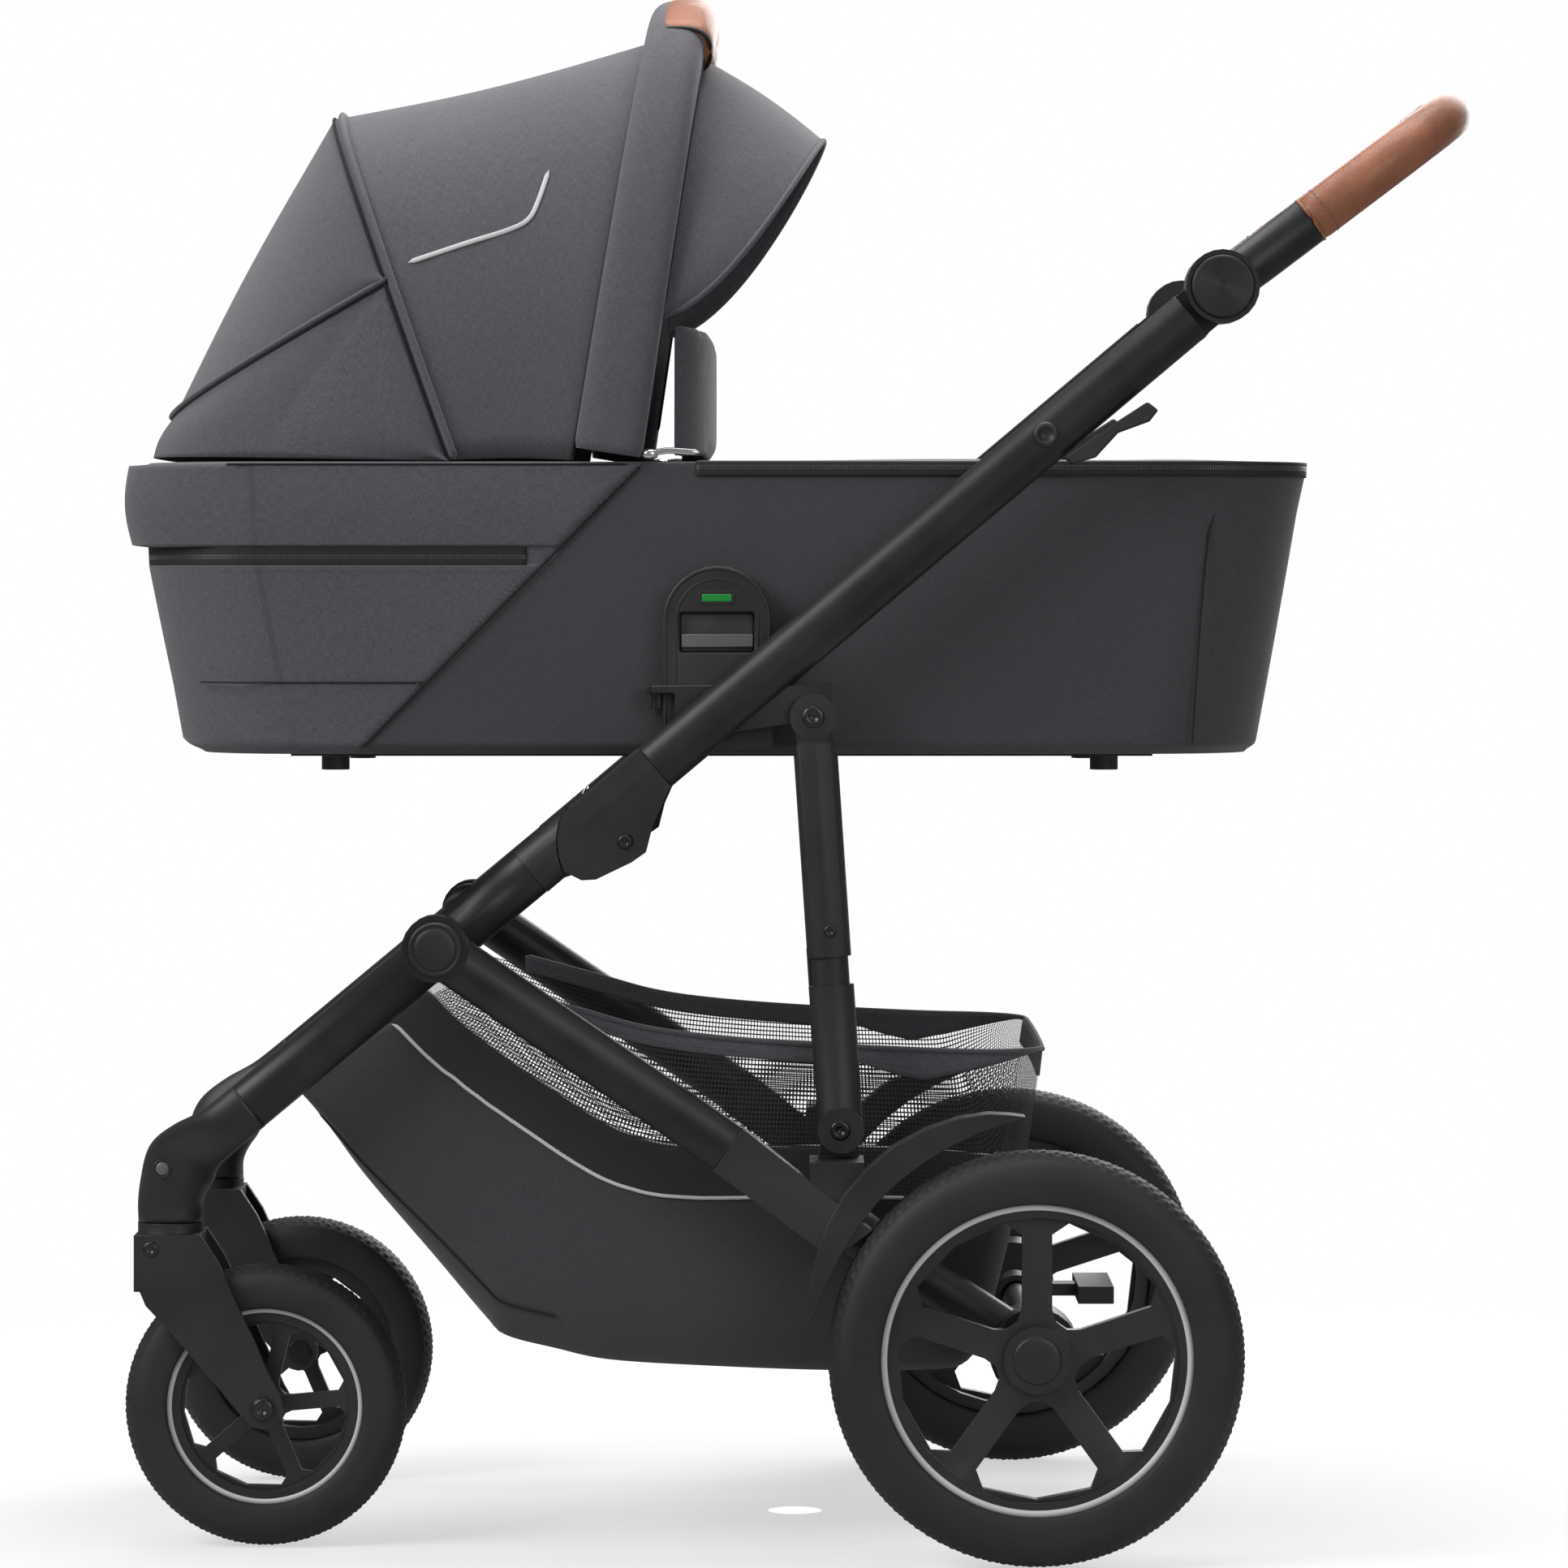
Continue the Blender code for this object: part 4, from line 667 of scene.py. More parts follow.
def cot_outline(z, inset=0.0):
    """The bare tub's plan at height z."""
    left = np.interp(z, [COT_BOTTOM, 0.5736, 0.6126, 0.698, 0.770],
                     [-0.431, -0.4400, -0.4466, -0.4640, -0.4682])
    right = np.interp(z, [COT_BOTTOM, 0.736, 0.760, 0.770], [0.3310, 0.3618, 0.3672, 0.3678])
    return plan(left, right, 0.1968, 0.085, inset)


def outward(outline):
    """Unit vectors pointing out of a closed plan."""
    step = np.roll(outline, -1, axis=0) - np.roll(outline, 1, axis=0)
    step /= np.linalg.norm(step, axis=1, keepdims=True) + 1e-12
    return np.stack([step[:, 1], -step[:, 0]], axis=1)


def cot_wall(z, lift=0.0, plain=False):
    """One row round the cover at height z: the plan, pushed out by the layers and bulges it wears there."""
    outline = cot_outline(z)
    push = outward(outline)
    x, y = outline[:, 0], outline[:, 1]
    near_seam = ease(seam_x(z) - x, 0.0, 0.0025)
    head = ease(-x, 0.400, 0.462)
    swell = np.sin(np.clip((z - ZIP_HIGH) / (COT_RIM - ZIP_HIGH), 0, 1) * math.pi)
    puff = 0.0026 + 0.0095 * head + swell * (0.0014 + 0.003 * head)
    band = ease(z, ZIP_HIGH - 0.0004, ZIP_HIGH + 0.0016) * near_seam * puff
    lower = ease(-z, -ZIP_LOW - 0.0004, -ZIP_LOW + 0.0014) * near_seam * 0.0013
    share = (z - COT_BOTTOM) / (COT_RIM - COT_BOTTOM)
    belly = 0.0012 * math.sin(math.pi * share) * (0.6 + 0.4 * np.sin(x * 9.0 + y * 7.0 + 1.3))
    hem = -0.007 * (1.0 - ease(z, COT_BOTTOM, COT_BOTTOM + 0.009)) ** 2
    reach = (0.0 if plain else band + lower) + belly + hem + lift
    points = outline + push * reach[:, None]
    return np.column_stack([points, np.full(len(points), z)]), near_seam


# %% The cover itself, with its floor and its turned-in rim
heights = np.unique(np.concatenate([
    np.linspace(COT_BOTTOM, COT_BOTTOM + 0.010, 6), np.linspace(0.575, ZIP_LOW - 0.002, 34),
    np.linspace(ZIP_LOW - 0.002, ZIP_LOW + 0.001, 6), np.linspace(ZIP_HIGH - 0.001, ZIP_HIGH + 0.002, 6),
    np.linspace(ZIP_HIGH + 0.003, COT_RIM - 0.001, 20)]))
walls = [cot_wall(z) for z in heights]
floor_z = 0.5664
first = walls[0][0].copy()
middle = first.mean(axis=0)
floor_rows = [np.column_stack([middle[:2] + (first[:, :2] - middle[:2]) * share,
                               np.full(len(first), floor_z)])
              for share in (0.02, 0.35, 0.7, 0.93)]
rim_rows = [np.column_stack([cot_outline(COT_RIM, inset), np.full(len(first), z)])
            for inset, z in ((0.0005, COT_RIM), (0.0030, COT_RIM + 0.0011), (0.0065, COT_RIM + 0.0006),
                             (0.0080, COT_RIM - 0.004))]
cover_grid = np.array(floor_rows + [w[0] for w in walls] + rim_rows)
# 0 on the head end, 1 on the rest and 0.5 on the floor: the darker rest is partly a darker cloth panel, partly
# painted shade.
cover_panel_and_shade = np.array([np.full(len(first), 0.5)] * 4 + [1.0 - w[1] for w in walls] + [1.0 - walls[-1][1]] * 4)
cover = skin("cot_cover", cover_grid, MELANGE, closed_columns=True, panel_and_shade=cover_panel_and_shade)
settle(cover, "cot", "fabric", "cot_tub")
lining_rows = [np.column_stack([cot_outline(z, inset), np.full(len(first), height)]) for z, inset, height in (
    (0.769, 0.0078, 0.7675), (0.740, 0.0095, 0.740), (0.690, 0.0105, 0.690), (0.640, 0.0112, 0.640),
    (0.590, 0.0120, 0.592),
    (0.582, 0.020, 0.5815), (0.580, 0.060, 0.5805), (0.580, 0.190, 0.5802))]
lining = skin("cot_lining", np.array(lining_rows), LINING, closed_columns=True, inside=True)
settle(lining, "cot", "fabric")
cloth(cover, (2.42, 0.42), ["cot_base"])
cloth(lining, (2.20, 0.33), ["cot_base"])
print("cover rows", len(cover_grid), "columns", len(first))

# %% [markdown]
# ## Zips, seams and stitching
#
# A zip is a strip of tape that follows the wall, so it is cut out of the same rows, a hair further out. Seams
# are thin near-black cords let into the cloth, painted shadow in their grooves, and topstitching is a row of
# small beads beside them.


# %% Zip tapes and seams on the cover
def wall_strip(name, heights, keep, lift, material):
    """A strip of the wall between two heights, over the columns where keep is true."""
    rows = []
    for z in heights:
        row, _ = cot_wall(z, lift, plain=True)
        rows.append(row[keep])
    return skin(name, np.array(rows).transpose(1, 0, 2), material, wall=-0.0006)


outline = cot_outline(0.705)
count = len(outline)
start = int(np.argmin(np.abs(outline[:180, 0] + 0.192)))
far_start = int(np.argmin(np.abs(outline[:, 0] + 0.192) + 9.0 * (outline[:, 1] < 0.15)))
order = np.concatenate([np.arange(far_start, count), np.arange(0, start + 1)])
tape = wall_strip("zip_head", np.linspace(ZIP_LOW - 0.0012, ZIP_HIGH + 0.0006, 9), order, 0.0004, ZIP)
settle(tape, "cot", "black_plastic")
cloth(tape, (0.0135, 1.06), ["cot_cover"])
outline = cot_outline(0.768)
near_front = int(np.argmin(np.abs(outline[:180, 0] + 0.072)))
far_front = int(np.argmin(np.abs(outline[:, 0] + 0.072) + 9.0 * (outline[:, 1] < 0.15)))
rim_zip = wall_strip("zip_rim", np.linspace(0.7608, 0.7712, 7), np.arange(near_front, far_front + 1), 0.0009,
                     ZIP)
settle(rim_zip, "cot", "black_plastic")
cloth(rim_zip, (0.0105, 1.22), ["cot_cover"])


def wall_line(xs, zs, sign, lift):
    """A smooth line on a side wall through given x and z, with y read off the wall."""
    x, z = np.asarray(xs, float), np.asarray(zs, float)
    y = np.array([np.interp(a, [-0.479, -0.44, -0.40, 0.29, 0.35], [0.11, 0.165, 0.1975, 0.1975, 0.165])
                  for a in x])
    push = np.array([0.0012 * math.sin(math.pi * (h - COT_BOTTOM) / (COT_RIM - COT_BOTTOM)) for h in z])
    return np.stack([x, sign * (y + push + lift), z], axis=1)


for side, sign in SIDES:
    # The near-black seam cords on the cover's walls are painted shadow in the seams.
    z = np.linspace(0.7695, 0.567, 40)
    slant = wall_line(seam_x(z) + 0.0008, z, sign, 0.0002)
    settle(cord_along(f"seam_slant_{side}", slant, 0.0009, SEAM_SHADOW, flat=0.8), "cot", "black_plastic")
    z = np.linspace(0.6945, 0.569, 40)
    row = wall_line(seam_x(z) - 0.0052, z, sign, 0.0014)
    settle(stitches(f"stitch_slant_{side}", row, (0, sign, 0)), "cot", "fabric")
    x = np.linspace(-0.430, seam_x(0.695) - 0.006, 50)
    settle(stitches(f"stitch_zip_{side}", wall_line(x, np.full_like(x, 0.6945), sign, 0.0016), (0, sign, 0)),
           "cot", "fabric")
    x = np.linspace(-0.425, seam_x(0.615), 40)
    settle(cord_along(f"seam_foot_{side}", wall_line(x, np.full_like(x, 0.6145), sign, 0.0008), 0.0006,
                      SEAM_SHADOW), "cot",
           "black_plastic")
    corner = np.array([[0.3054, 0.7600], [0.2930, 0.7210], [0.2870, 0.6600], [0.2810, 0.5680]])
    settle(cord_along(f"seam_corner_{side}", wall_line(corner[:, 0], corner[:, 1], sign, -0.0002), 0.0007,
                      SEAM_SHADOW), "cot",
           "black_plastic")
    x = np.linspace(-0.405, -0.118, 60)
    settle(cord_along(f"seam_rim_{side}", wall_line(x, np.full_like(x, 0.7692), sign, 0.0022), 0.0008,
                      SEAM_SHADOW), "cot",
           "black_plastic")
    puller = [(-0.105, sign * 0.197, 0.7768), (-0.090, sign * 0.1985, 0.7790),
              (-0.068, sign * 0.1985, 0.7775)]
    settle(cord_along(f"zip_puller_{side}", puller, 0.0023, BRIGHT_STEEL, flat=0.45), "cot", "steel")
    slider = turned(f"zip_slider_{side}", (-0.103, sign * 0.1965, 0.7765), (1, 0, 0),
                    [(0.0002, -0.006), (0.0034, -0.005), (0.0040, 0.0), (0.0030, 0.005),
                     (0.0002, 0.006)], BRIGHT_STEEL, 20)
    settle(slider, "cot", "steel")
print("seams done")

# %% [markdown]
# ## The hood
#
# Two bows hold the hood up: one leans back over the head end, the other is the padded arch that is also the
# carrying handle. Each bow is a super-ellipse across the cot. The cloth between two bows is a ruled surface,
# pulled in a little halfway because tight cloth hollows; the back is two panels that meet in a folded seam.

# %% Bows and ruled cloth
HOOD_FOOT, HOOD_HALF = 0.7722, 0.190


def bow(angle, foot_x, top_x, top_z, half, foot_z=HOOD_FOOT, roundness=2.6, lean=1.0):
    """Points of a bow at given angles, from 0 at the near foot to pi at the far one.

    It is a super-ellipse: half * cos across and sin up, each raised to 2 / roundness."""
    angle = np.asarray(angle, float)
    across = -np.sign(np.cos(angle)) * np.abs(np.cos(angle)) ** (2 / roundness)
    up = np.clip(np.sin(angle), 0, 1) ** (2 / roundness)
    return np.stack([foot_x + (top_x - foot_x) * up ** lean, half * across, foot_z + (top_z - foot_z)
                     * up], -1)


def ruled(first, second, rows, pull, centre):
    """Rows of straight lines from one curve to another, pushed pull metres away from centre halfway along."""
    share = np.linspace(0, 1, rows)[:, None, None]
    grid = first[None] * (1 - share) + second[None] * share
    away = grid - np.asarray(centre, float)
    away /= np.linalg.norm(away, axis=2, keepdims=True) + 1e-12
    return grid + away * pull * np.sin(math.pi * share)


def rear_bow(angle):
    return bow(angle, -0.247, -0.338, 1.0262, HOOD_HALF)


def arch_back(angle):
    return bow(angle, -0.158, -0.104, 1.0830, HOOD_HALF)


CREASE_ANGLE = 0.4264
CREASE_HALF = HOOD_HALF * math.cos(CREASE_ANGLE) ** (2 / 2.6)


def crease(across):
    """The folded seam round the back, for across from -1, near, to 1, far: half a super-ellipse."""
    turn = (1 - np.abs(across)) * math.pi / 2
    back = np.sin(turn) ** (2 / 2.6)
    return np.stack([-0.289 - 0.1675 * back, np.sign(across) * CREASE_HALF * np.cos(turn) ** (2 / 2.6),
                     0.9007 - 0.0967 * back], -1)


def hood_rim(across):
    """The hood's lower edge round the head end, just inside the cover's rim."""
    turn = (1 - np.abs(across)) * math.pi / 2
    back = np.sin(turn) ** (2 / 3.4)
    return np.stack([-0.247 - 0.2225 * back, np.sign(across) * 0.1905 * np.cos(turn) ** (2 / 3.4),
                     0.7716 + 0.0045 * back], -1)


def with_hood(piece, slot="fabric", *nodes):
    """The piece's transform is baked into its mesh, and the CAD nodes it stands for are hidden; slot is not
    used.
    """
    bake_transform(piece)
    if nodes:
        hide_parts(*nodes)
    return piece


fine = np.linspace(0, math.pi, 121)
front_panel = ruled(rear_bow(fine), arch_back(fine), 34, -0.0045, (-0.20, 0.0, 0.85))
canopy = skin("canopy_front", front_panel, MELANGE, wall=0.0016)
with_hood(canopy, "fabric", "hood_canopy")
cloth(canopy, (0.24, 0.72), ["cot_cover"])
across = np.linspace(-1, 1, 121)
upper_rear = ruled(rear_bow(math.pi / 2 + across * (math.pi / 2 - CREASE_ANGLE)), crease(across), 26, 0.0035,
                   (-0.30, 0.0, 0.84))
back_upper = skin("canopy_back_upper", upper_rear, MELANGE, wall=0.0016)
share = 0.72
on_bow = np.abs(across) >= share
up_bow = CREASE_ANGLE * (1 - np.abs(across)) / (1 - share)
top_line = np.where(on_bow[:, None], rear_bow(np.where(across < 0, up_bow, math.pi - up_bow)),
                    crease(np.clip(across / share, -1, 1)))
lower_rear = ruled(top_line, hood_rim(across), 22, 0.0030, (-0.30, 0.0, 0.80))
back_lower = skin("canopy_back_lower", lower_rear, MELANGE, wall=0.0016)
for piece, flat in ((back_upper, (0.16, 0.56)), (back_lower, (0.10, 0.56))):
    with_hood(piece)
    cloth(piece, flat, ["cot_cover"])


# %% Sleeves, seams and the reflective line
def shifted(path, x=0.0, z=0.0, grow=0.0):
    """A path moved in X and Z, and grown away from the middle of the hood."""
    path = path + np.array([x, 0.0, z])
    away = path - np.array([-0.24, 0.0, 0.80])
    away[:, 0] = 0.0
    away /= np.linalg.norm(away, axis=1, keepdims=True) + 1e-12
    return path + away * grow


with_hood(cord_along("sleeve_rear_bow", shifted(rear_bow(fine), x=0.0055, grow=0.0002), 0.0052, MELANGE,
                     sides=14, flat=0.55))
# The near-black seam cords on the hood are painted shadow in its seams.
with_hood(cord_along("seam_rear_bow", shifted(rear_bow(fine), x=-0.0004, grow=0.0004), 0.0011, SEAM_SHADOW),
          "black_plastic")
with_hood(cord_along("fold_rear", shifted(crease(across), z=0.0015, x=-0.0008, grow=0.0006), 0.0030, MELANGE,
                     sides=12, flat=0.7))
with_hood(cord_along("seam_rear", shifted(crease(across), z=-0.0016, grow=0.0009), 0.0010, SEAM_SHADOW),
          "black_plastic")
with_hood(cord_along("seam_arch_back", shifted(arch_back(fine), x=-0.001, grow=0.0004), 0.0010, SEAM_SHADOW),
          "black_plastic")


def lifted_line(grid, points, sign, lift):
    """A smooth line over a grid surface: y is read from the grid point nearest in x and z on that side."""
    wanted = along([(x, 0.0, z) for x, z in points], 60)
    side = grid.reshape(-1, 3)
    side = side[side[:, 1] * sign > 0.02]
    nearest = np.argmin((side[None, :, 0] - wanted[:, None, 0]) ** 2
                        + (side[None, :, 2] - wanted[:, None, 2]) ** 2, axis=1)
    y = np.convolve(np.pad(side[nearest, 1], 4, mode="edge"), np.ones(9) / 9, mode="valid")
    return np.stack([wanted[:, 0], y + sign * lift, wanted[:, 2]], axis=1)


for side, sign in SIDES:
    line = lifted_line(front_panel,
                       [(-0.2759, 0.9132), (-0.2380, 0.9262), (-0.2030, 0.9375), (-0.1900, 0.9450),
                        (-0.1835, 0.9580),
                                     (-0.1763, 0.9803)], sign, 0.0014)
    with_hood(cord_along(f"reflective_line_{side}", line, 0.0017, REFLECTIVE, sides=10, flat=0.35),
              "grey_plastic")

# %% [markdown]
# ## The padded arch, its leather wrap and the visor
#
# The arch is a padded tube: a super-ellipse section carried along its bow, wider at the feet and thicker at
# the top, where the hand takes it. The wrap is the same section a little larger over the middle. The visor is
# a ruled sheet from the arch to a free edge that curves down to each side.


# %% Arch and wrap
def arch_tube(name, angle, material, shift=0.0, grow=0.0, taper=True):
    """A padded tube along the arch: the section's width lies along X, its thickness away from the hood."""
    path = along(bow(angle, -0.1335, -0.084, 1.0930, 0.1962), len(angle), smooth=False)
    up = (path[:, 2] - HOOD_FOOT) / (1.0930 - HOOD_FOOT)
    tangent = np.gradient(path, axis=0)
    tangent /= np.linalg.norm(tangent, axis=1, keepdims=True)
    wide = np.array([1.0, 0.0, 0.0]) - tangent * tangent[:, :1]
    wide /= np.linalg.norm(wide, axis=1, keepdims=True)
    thick = np.cross(tangent, wide)
    half_wide = 0.0247 - 0.0030 * up + grow
    half_thick = 0.0105 + 0.0100 * up ** 3 + grow
    if taper:
        ends = np.minimum(np.arange(len(path)), np.arange(len(path))[::-1])
        size = np.interp(ends, [0, 1, 2, 3], [0.10, 0.93, 0.99, 1.0])
        half_wide, half_thick = half_wide * size, half_thick * size
        path[0], path[-1] = path[1] + (0, 0, -0.0003), path[-2] + (0, 0, -0.0003)
    turn = np.linspace(0, math.tau, 40, endpoint=False)
    c, s = np.cos(turn), np.sin(turn)
    c, s = np.sign(c) * np.abs(c) ** 0.72, np.sign(s) * np.abs(s) ** 0.80
    grid = (path[:, None] + wide[:, None] * (half_wide[:, None] * c + shift)[..., None]
            + thick[:, None] * (half_thick[:, None] * s)[..., None])
    return skin(name, grid, material, closed_columns=True), grid


arch, arch_grid = arch_tube("arch_cover", np.linspace(0, math.pi, 161), MELANGE)
settle(arch, "hood", "fabric", "hood_arch")
wrap, wrap_grid = arch_tube("arch_wrap", np.linspace(1.12, math.pi - 1.12, 48), LEATHER, shift=0.0052,
                            grow=0.0012)
settle(wrap, "hood", "leather", "carry_grip")
for n, (row, name) in enumerate(((1, "near"), (-2, "far"))):
    loop = wrap_grid[row]
    loop = np.vstack([loop, loop[:1]])
    settle(cord_along(f"wrap_binding_{name}", loop, 0.0016, NYLON), "hood", "black_plastic")
under = wrap_grid[3:-3, 22] + np.array([0.0, 0.0, -0.0004])
settle(stitches("stitch_wrap", under, (0.2, 0, -1), THREAD), "hood", "leather")
# A near-black cord: painted shadow in the arch's front seam.
edge = arch_grid[6:-6, 2] + np.array([0.0006, 0.0, 0.0])
settle(cord_along("seam_arch_front", edge, 0.0009, SEAM_SHADOW), "hood", "black_plastic")


# %% Visor
def visor_root(angle):
    """Where the visor leaves the arch."""
    return bow(angle, -0.1175, -0.0640, 1.0690, HOOD_HALF + 0.0010)


ROOT_ANGLE = 0.2485
root_half = abs(float(visor_root(ROOT_ANGLE)[1]))
root = visor_root(np.linspace(ROOT_ANGLE, math.pi - ROOT_ANGLE, 101))
edge_angle = np.linspace(0, math.pi, 101)
front_edge = bow(edge_angle, -0.0978, 0.0215, 1.0105, root_half, foot_z=0.8735, roundness=2.3, lean=0.62)
visor_grid = ruled(root, front_edge, 26, 0.0030, (-0.12, 0.0, 0.80))
visor = skin("visor", visor_grid, MELANGE, wall=0.0022)
settle(visor, "hood", "fabric", "hood_visor")
cloth(visor, (0.15, 0.52), ["arch_cover"])
settle(cord_along("visor_hem", front_edge, 0.0021, MELANGE, sides=10, count=180), "hood", "fabric")

# %% [markdown]
# ## Padding by simulation
#
# The wind flap and the mattress are stuffed, and a cloth simulation fills them: the closed shape is remeshed
# evenly, blown up by a small pressure for twenty frames, and no point may move further than a cap, so the pad
# keeps its size. The cloth's UVs are laid on afterwards from its own flat directions.


# %% Stuffed pieces
def stuffed(piece, voxel, cap, pressure=4.0, flat_axes=(0, 1)):
    """Remesh evenly, blow up as cloth with a capped travel, then smooth once. UVs are two axes, in metres."""
    mesh = piece.data
    remesh = piece.modifiers.new("even", "REMESH")
    remesh.mode, remesh.voxel_size = "VOXEL", voxel
    graph = bpy.context.evaluated_depsgraph_get()
    even = bpy.data.meshes.new_from_object(piece.evaluated_get(graph))
    piece.modifiers.clear()
    piece.data = even
    before = np.empty(len(even.vertices) * 3)
    even.vertices.foreach_get("co", before)
    cloth = piece.modifiers.new("cloth", "CLOTH")
    cloth.settings.use_pressure, cloth.settings.uniform_pressure_force = True, pressure
    cloth.settings.effector_weights.gravity = 0.0
    cloth.settings.tension_stiffness = cloth.settings.compression_stiffness = 20.0
    cloth.settings.shrink_min = -0.04
    cloth.point_cache.frame_start, cloth.point_cache.frame_end = 1, 20
    for step in range(1, 21):
        bpy.context.scene.frame_set(step)
    graph = bpy.context.evaluated_depsgraph_get()
    blown = bpy.data.meshes.new_from_object(piece.evaluated_get(graph))
    after = np.empty(len(blown.vertices) * 3)
    blown.vertices.foreach_get("co", after)
    move = (after - before).reshape(-1, 3)
    far = np.linalg.norm(move, axis=1, keepdims=True)
    kept = before.reshape(-1, 3) + move * np.minimum(1.0, cap / np.maximum(far, 1e-9))
    piece.modifiers.clear()
    piece.data = mesh = even
    mesh.vertices.foreach_set("co", kept.reshape(-1))
    bpy.context.scene.frame_set(1)
    print(piece.name, "moved at most", round(float(far.max()), 4))
    mesh.materials.clear()
    mesh.shade_smooth()
    points = np.empty(len(mesh.vertices) * 3)
    mesh.vertices.foreach_get("co", points)
    loops = np.empty(len(mesh.loops), np.int32)
    mesh.loops.foreach_get("vertex_index", loops)
    layer = mesh.uv_layers.get("flat") or mesh.uv_layers.new(name="flat")
    layer.data.foreach_set("uv", points.reshape(-1, 3)[loops][:, list(flat_axes)].reshape(-1))
    smooth = piece.modifiers.new("smooth", "SUBSURF")
    smooth.levels = smooth.render_levels = 1
    return piece


y = np.linspace(-1, 1, 81)
line_x = -0.0655 - 0.0250 * np.abs(y) ** 5
line_y = 0.1725 * np.sign(y) * np.abs(y) ** 0.92
thin = 0.0048 * np.clip(1.0 - np.abs(y) ** 14, 0.2, 1.0)
turn = np.linspace(0, math.tau, 44, endpoint=False)
c = np.sign(np.cos(turn)) * np.abs(np.cos(turn)) ** 0.5
s = np.sign(np.sin(turn)) * np.abs(np.sin(turn)) ** 0.22
flap_grid = np.stack([line_x[:, None] + thin[:, None] * c, line_y[:, None] + 0.0 * s,
                      0.8215 + 0.0475 * s + 0.0 * thin[:, None]], -1)
flap = skin("wind_flap", flap_grid, MELANGE, closed_columns=True)
form = bmesh.new()
form.from_mesh(flap.data)
bmesh.ops.holes_fill(form, edges=form.edges)
form.to_mesh(flap.data)
form.free()
stuffed(flap, 0.004, 0.0024, flat_axes=(1, 2))
flap.data.materials.append(MELANGE)
settle(flap, "cot", "fabric")

pad_rows = []
for height, inset in ((0.5830, 0.005), (0.5850, 0.0015), (0.5900, 0.0), (0.6000, 0.0), (0.6050, 0.0015),
                      (0.6075, 0.005)):
    row = plan(-0.409, 0.302, 0.160, 0.058, inset)[::4]
    pad_rows.append(np.column_stack([row, np.full(len(row), height)]))
pad_middle = np.append(pad_rows[0][:, :2].mean(axis=0), 0.0)
for share, height, place in ((0.02, 0.5828, 0), (0.02, 0.6080, len(pad_rows) + 1)):
    row = pad_middle + (pad_rows[0] - pad_middle) * share
    row[:, 2] = height
    pad_rows.insert(place, row)
mattress = skin("mattress_pad", np.array(pad_rows), TICKING, closed_columns=True)
form = bmesh.new()
form.from_mesh(mattress.data)
bmesh.ops.holes_fill(form, edges=form.edges)
form.to_mesh(mattress.data)
form.free()
stuffed(mattress, 0.006, 0.0035)
mattress.data.materials.append(TICKING)
settle(mattress, "cot", "mattress_fabric", "mattress")

# %% The apron over the foot half
rows = 1 - np.cos(np.linspace(0, math.pi / 2, 60))
x = -0.070 + (0.3655 + 0.070) * rows[::-1] * -1 + (0.3655 + 0.070)
half = np.where(x > COT_RIGHT - 0.085,
                0.1968 - 0.085 + np.sqrt(np.clip(0.085 ** 2 - (x - (COT_RIGHT - 0.085)) ** 2, 0,
                                                 1)), 0.1968) - 0.003
v = np.linspace(-1, 1, 61)[None, :]
crown = 0.0030 * np.clip(1 - v ** 4, 0, 1) * (ease(COT_RIGHT - x, 0.003, 0.11)
                                              * (0.55 + 0.45 * ease(x, -0.07, 0.05)))[:, None]
ripple = 0.0007 * np.sin(x[:, None] * 31.0 + v * 3.0) * (1 - v ** 2)
apron_grid = np.stack([x[:, None] + 0 * v, half[:, None] * v, 0.7714 + crown + ripple], -1)
apron = skin("apron_cover", apron_grid, MELANGE, wall=0.0018)
settle(apron, "cot", "fabric", "apron")
cloth(apron, (0.39, 0.44), ["cot_cover"])

# %% [markdown]
# ## The basket
#
# The basket is a bag: a lower line in the side view, carried across, and on each side a wall up to the rim.
# The wall's lines run from the lower line to the rim, and a piped seam cuts them: solid cloth below it, open
# net above. The back is net as well, under a stiff hoop of cloth, and rounds its corners in plan.

# %% The basket's lines, in side view
LOWER = np.array([(-0.351, 0.3240), (-0.3275, 0.2930), (-0.304, 0.2615), (-0.2576, 0.2075),
                  (-0.2200, 0.1630), (-0.2060, 0.1500), (-0.1700, 0.1405), (-0.1316, 0.1325),
                  (-0.060, 0.1280), (0.023, 0.1250), (0.095, 0.1255), (0.120, 0.1300), (0.1330, 0.1500),
                  (0.148, 0.2006), (0.158, 0.2450), (0.167, 0.2900), (0.1755, 0.3510)])
UPPER = np.array([(-0.351, 0.3250), (-0.322, 0.3470), (-0.288, 0.3760), (-0.250, 0.4040),
                  (-0.236, 0.4050), (-0.157, 0.3840), (-0.110, 0.3710), (-0.063, 0.3640),
                  (0.007, 0.3585), (0.100, 0.3540), (0.1765, 0.3525)])
PIPING = np.array([(-0.290, 0.3790), (-0.254, 0.3440), (-0.200, 0.3046), (-0.146, 0.2690),
                   (-0.1138, 0.2560), (-0.0816, 0.2510), (-0.036, 0.2506), (0.050, 0.2515), (0.158, 0.2450)])


def side_line(points, count):
    """A smooth line in side view, as (count, 2) of x and z."""
    return along(np.column_stack([points[:, 0], np.zeros(len(points)), points[:, 1]]), count)[:, [0, 2]]


def basket_half(x):
    """Half the basket's width: full, then a quarter circle of 50 mm towards the back."""
    return 0.1495 + np.sqrt(np.clip(0.050 ** 2 - np.clip(x - 0.127, 0, 0.0499) ** 2, 0, 1))


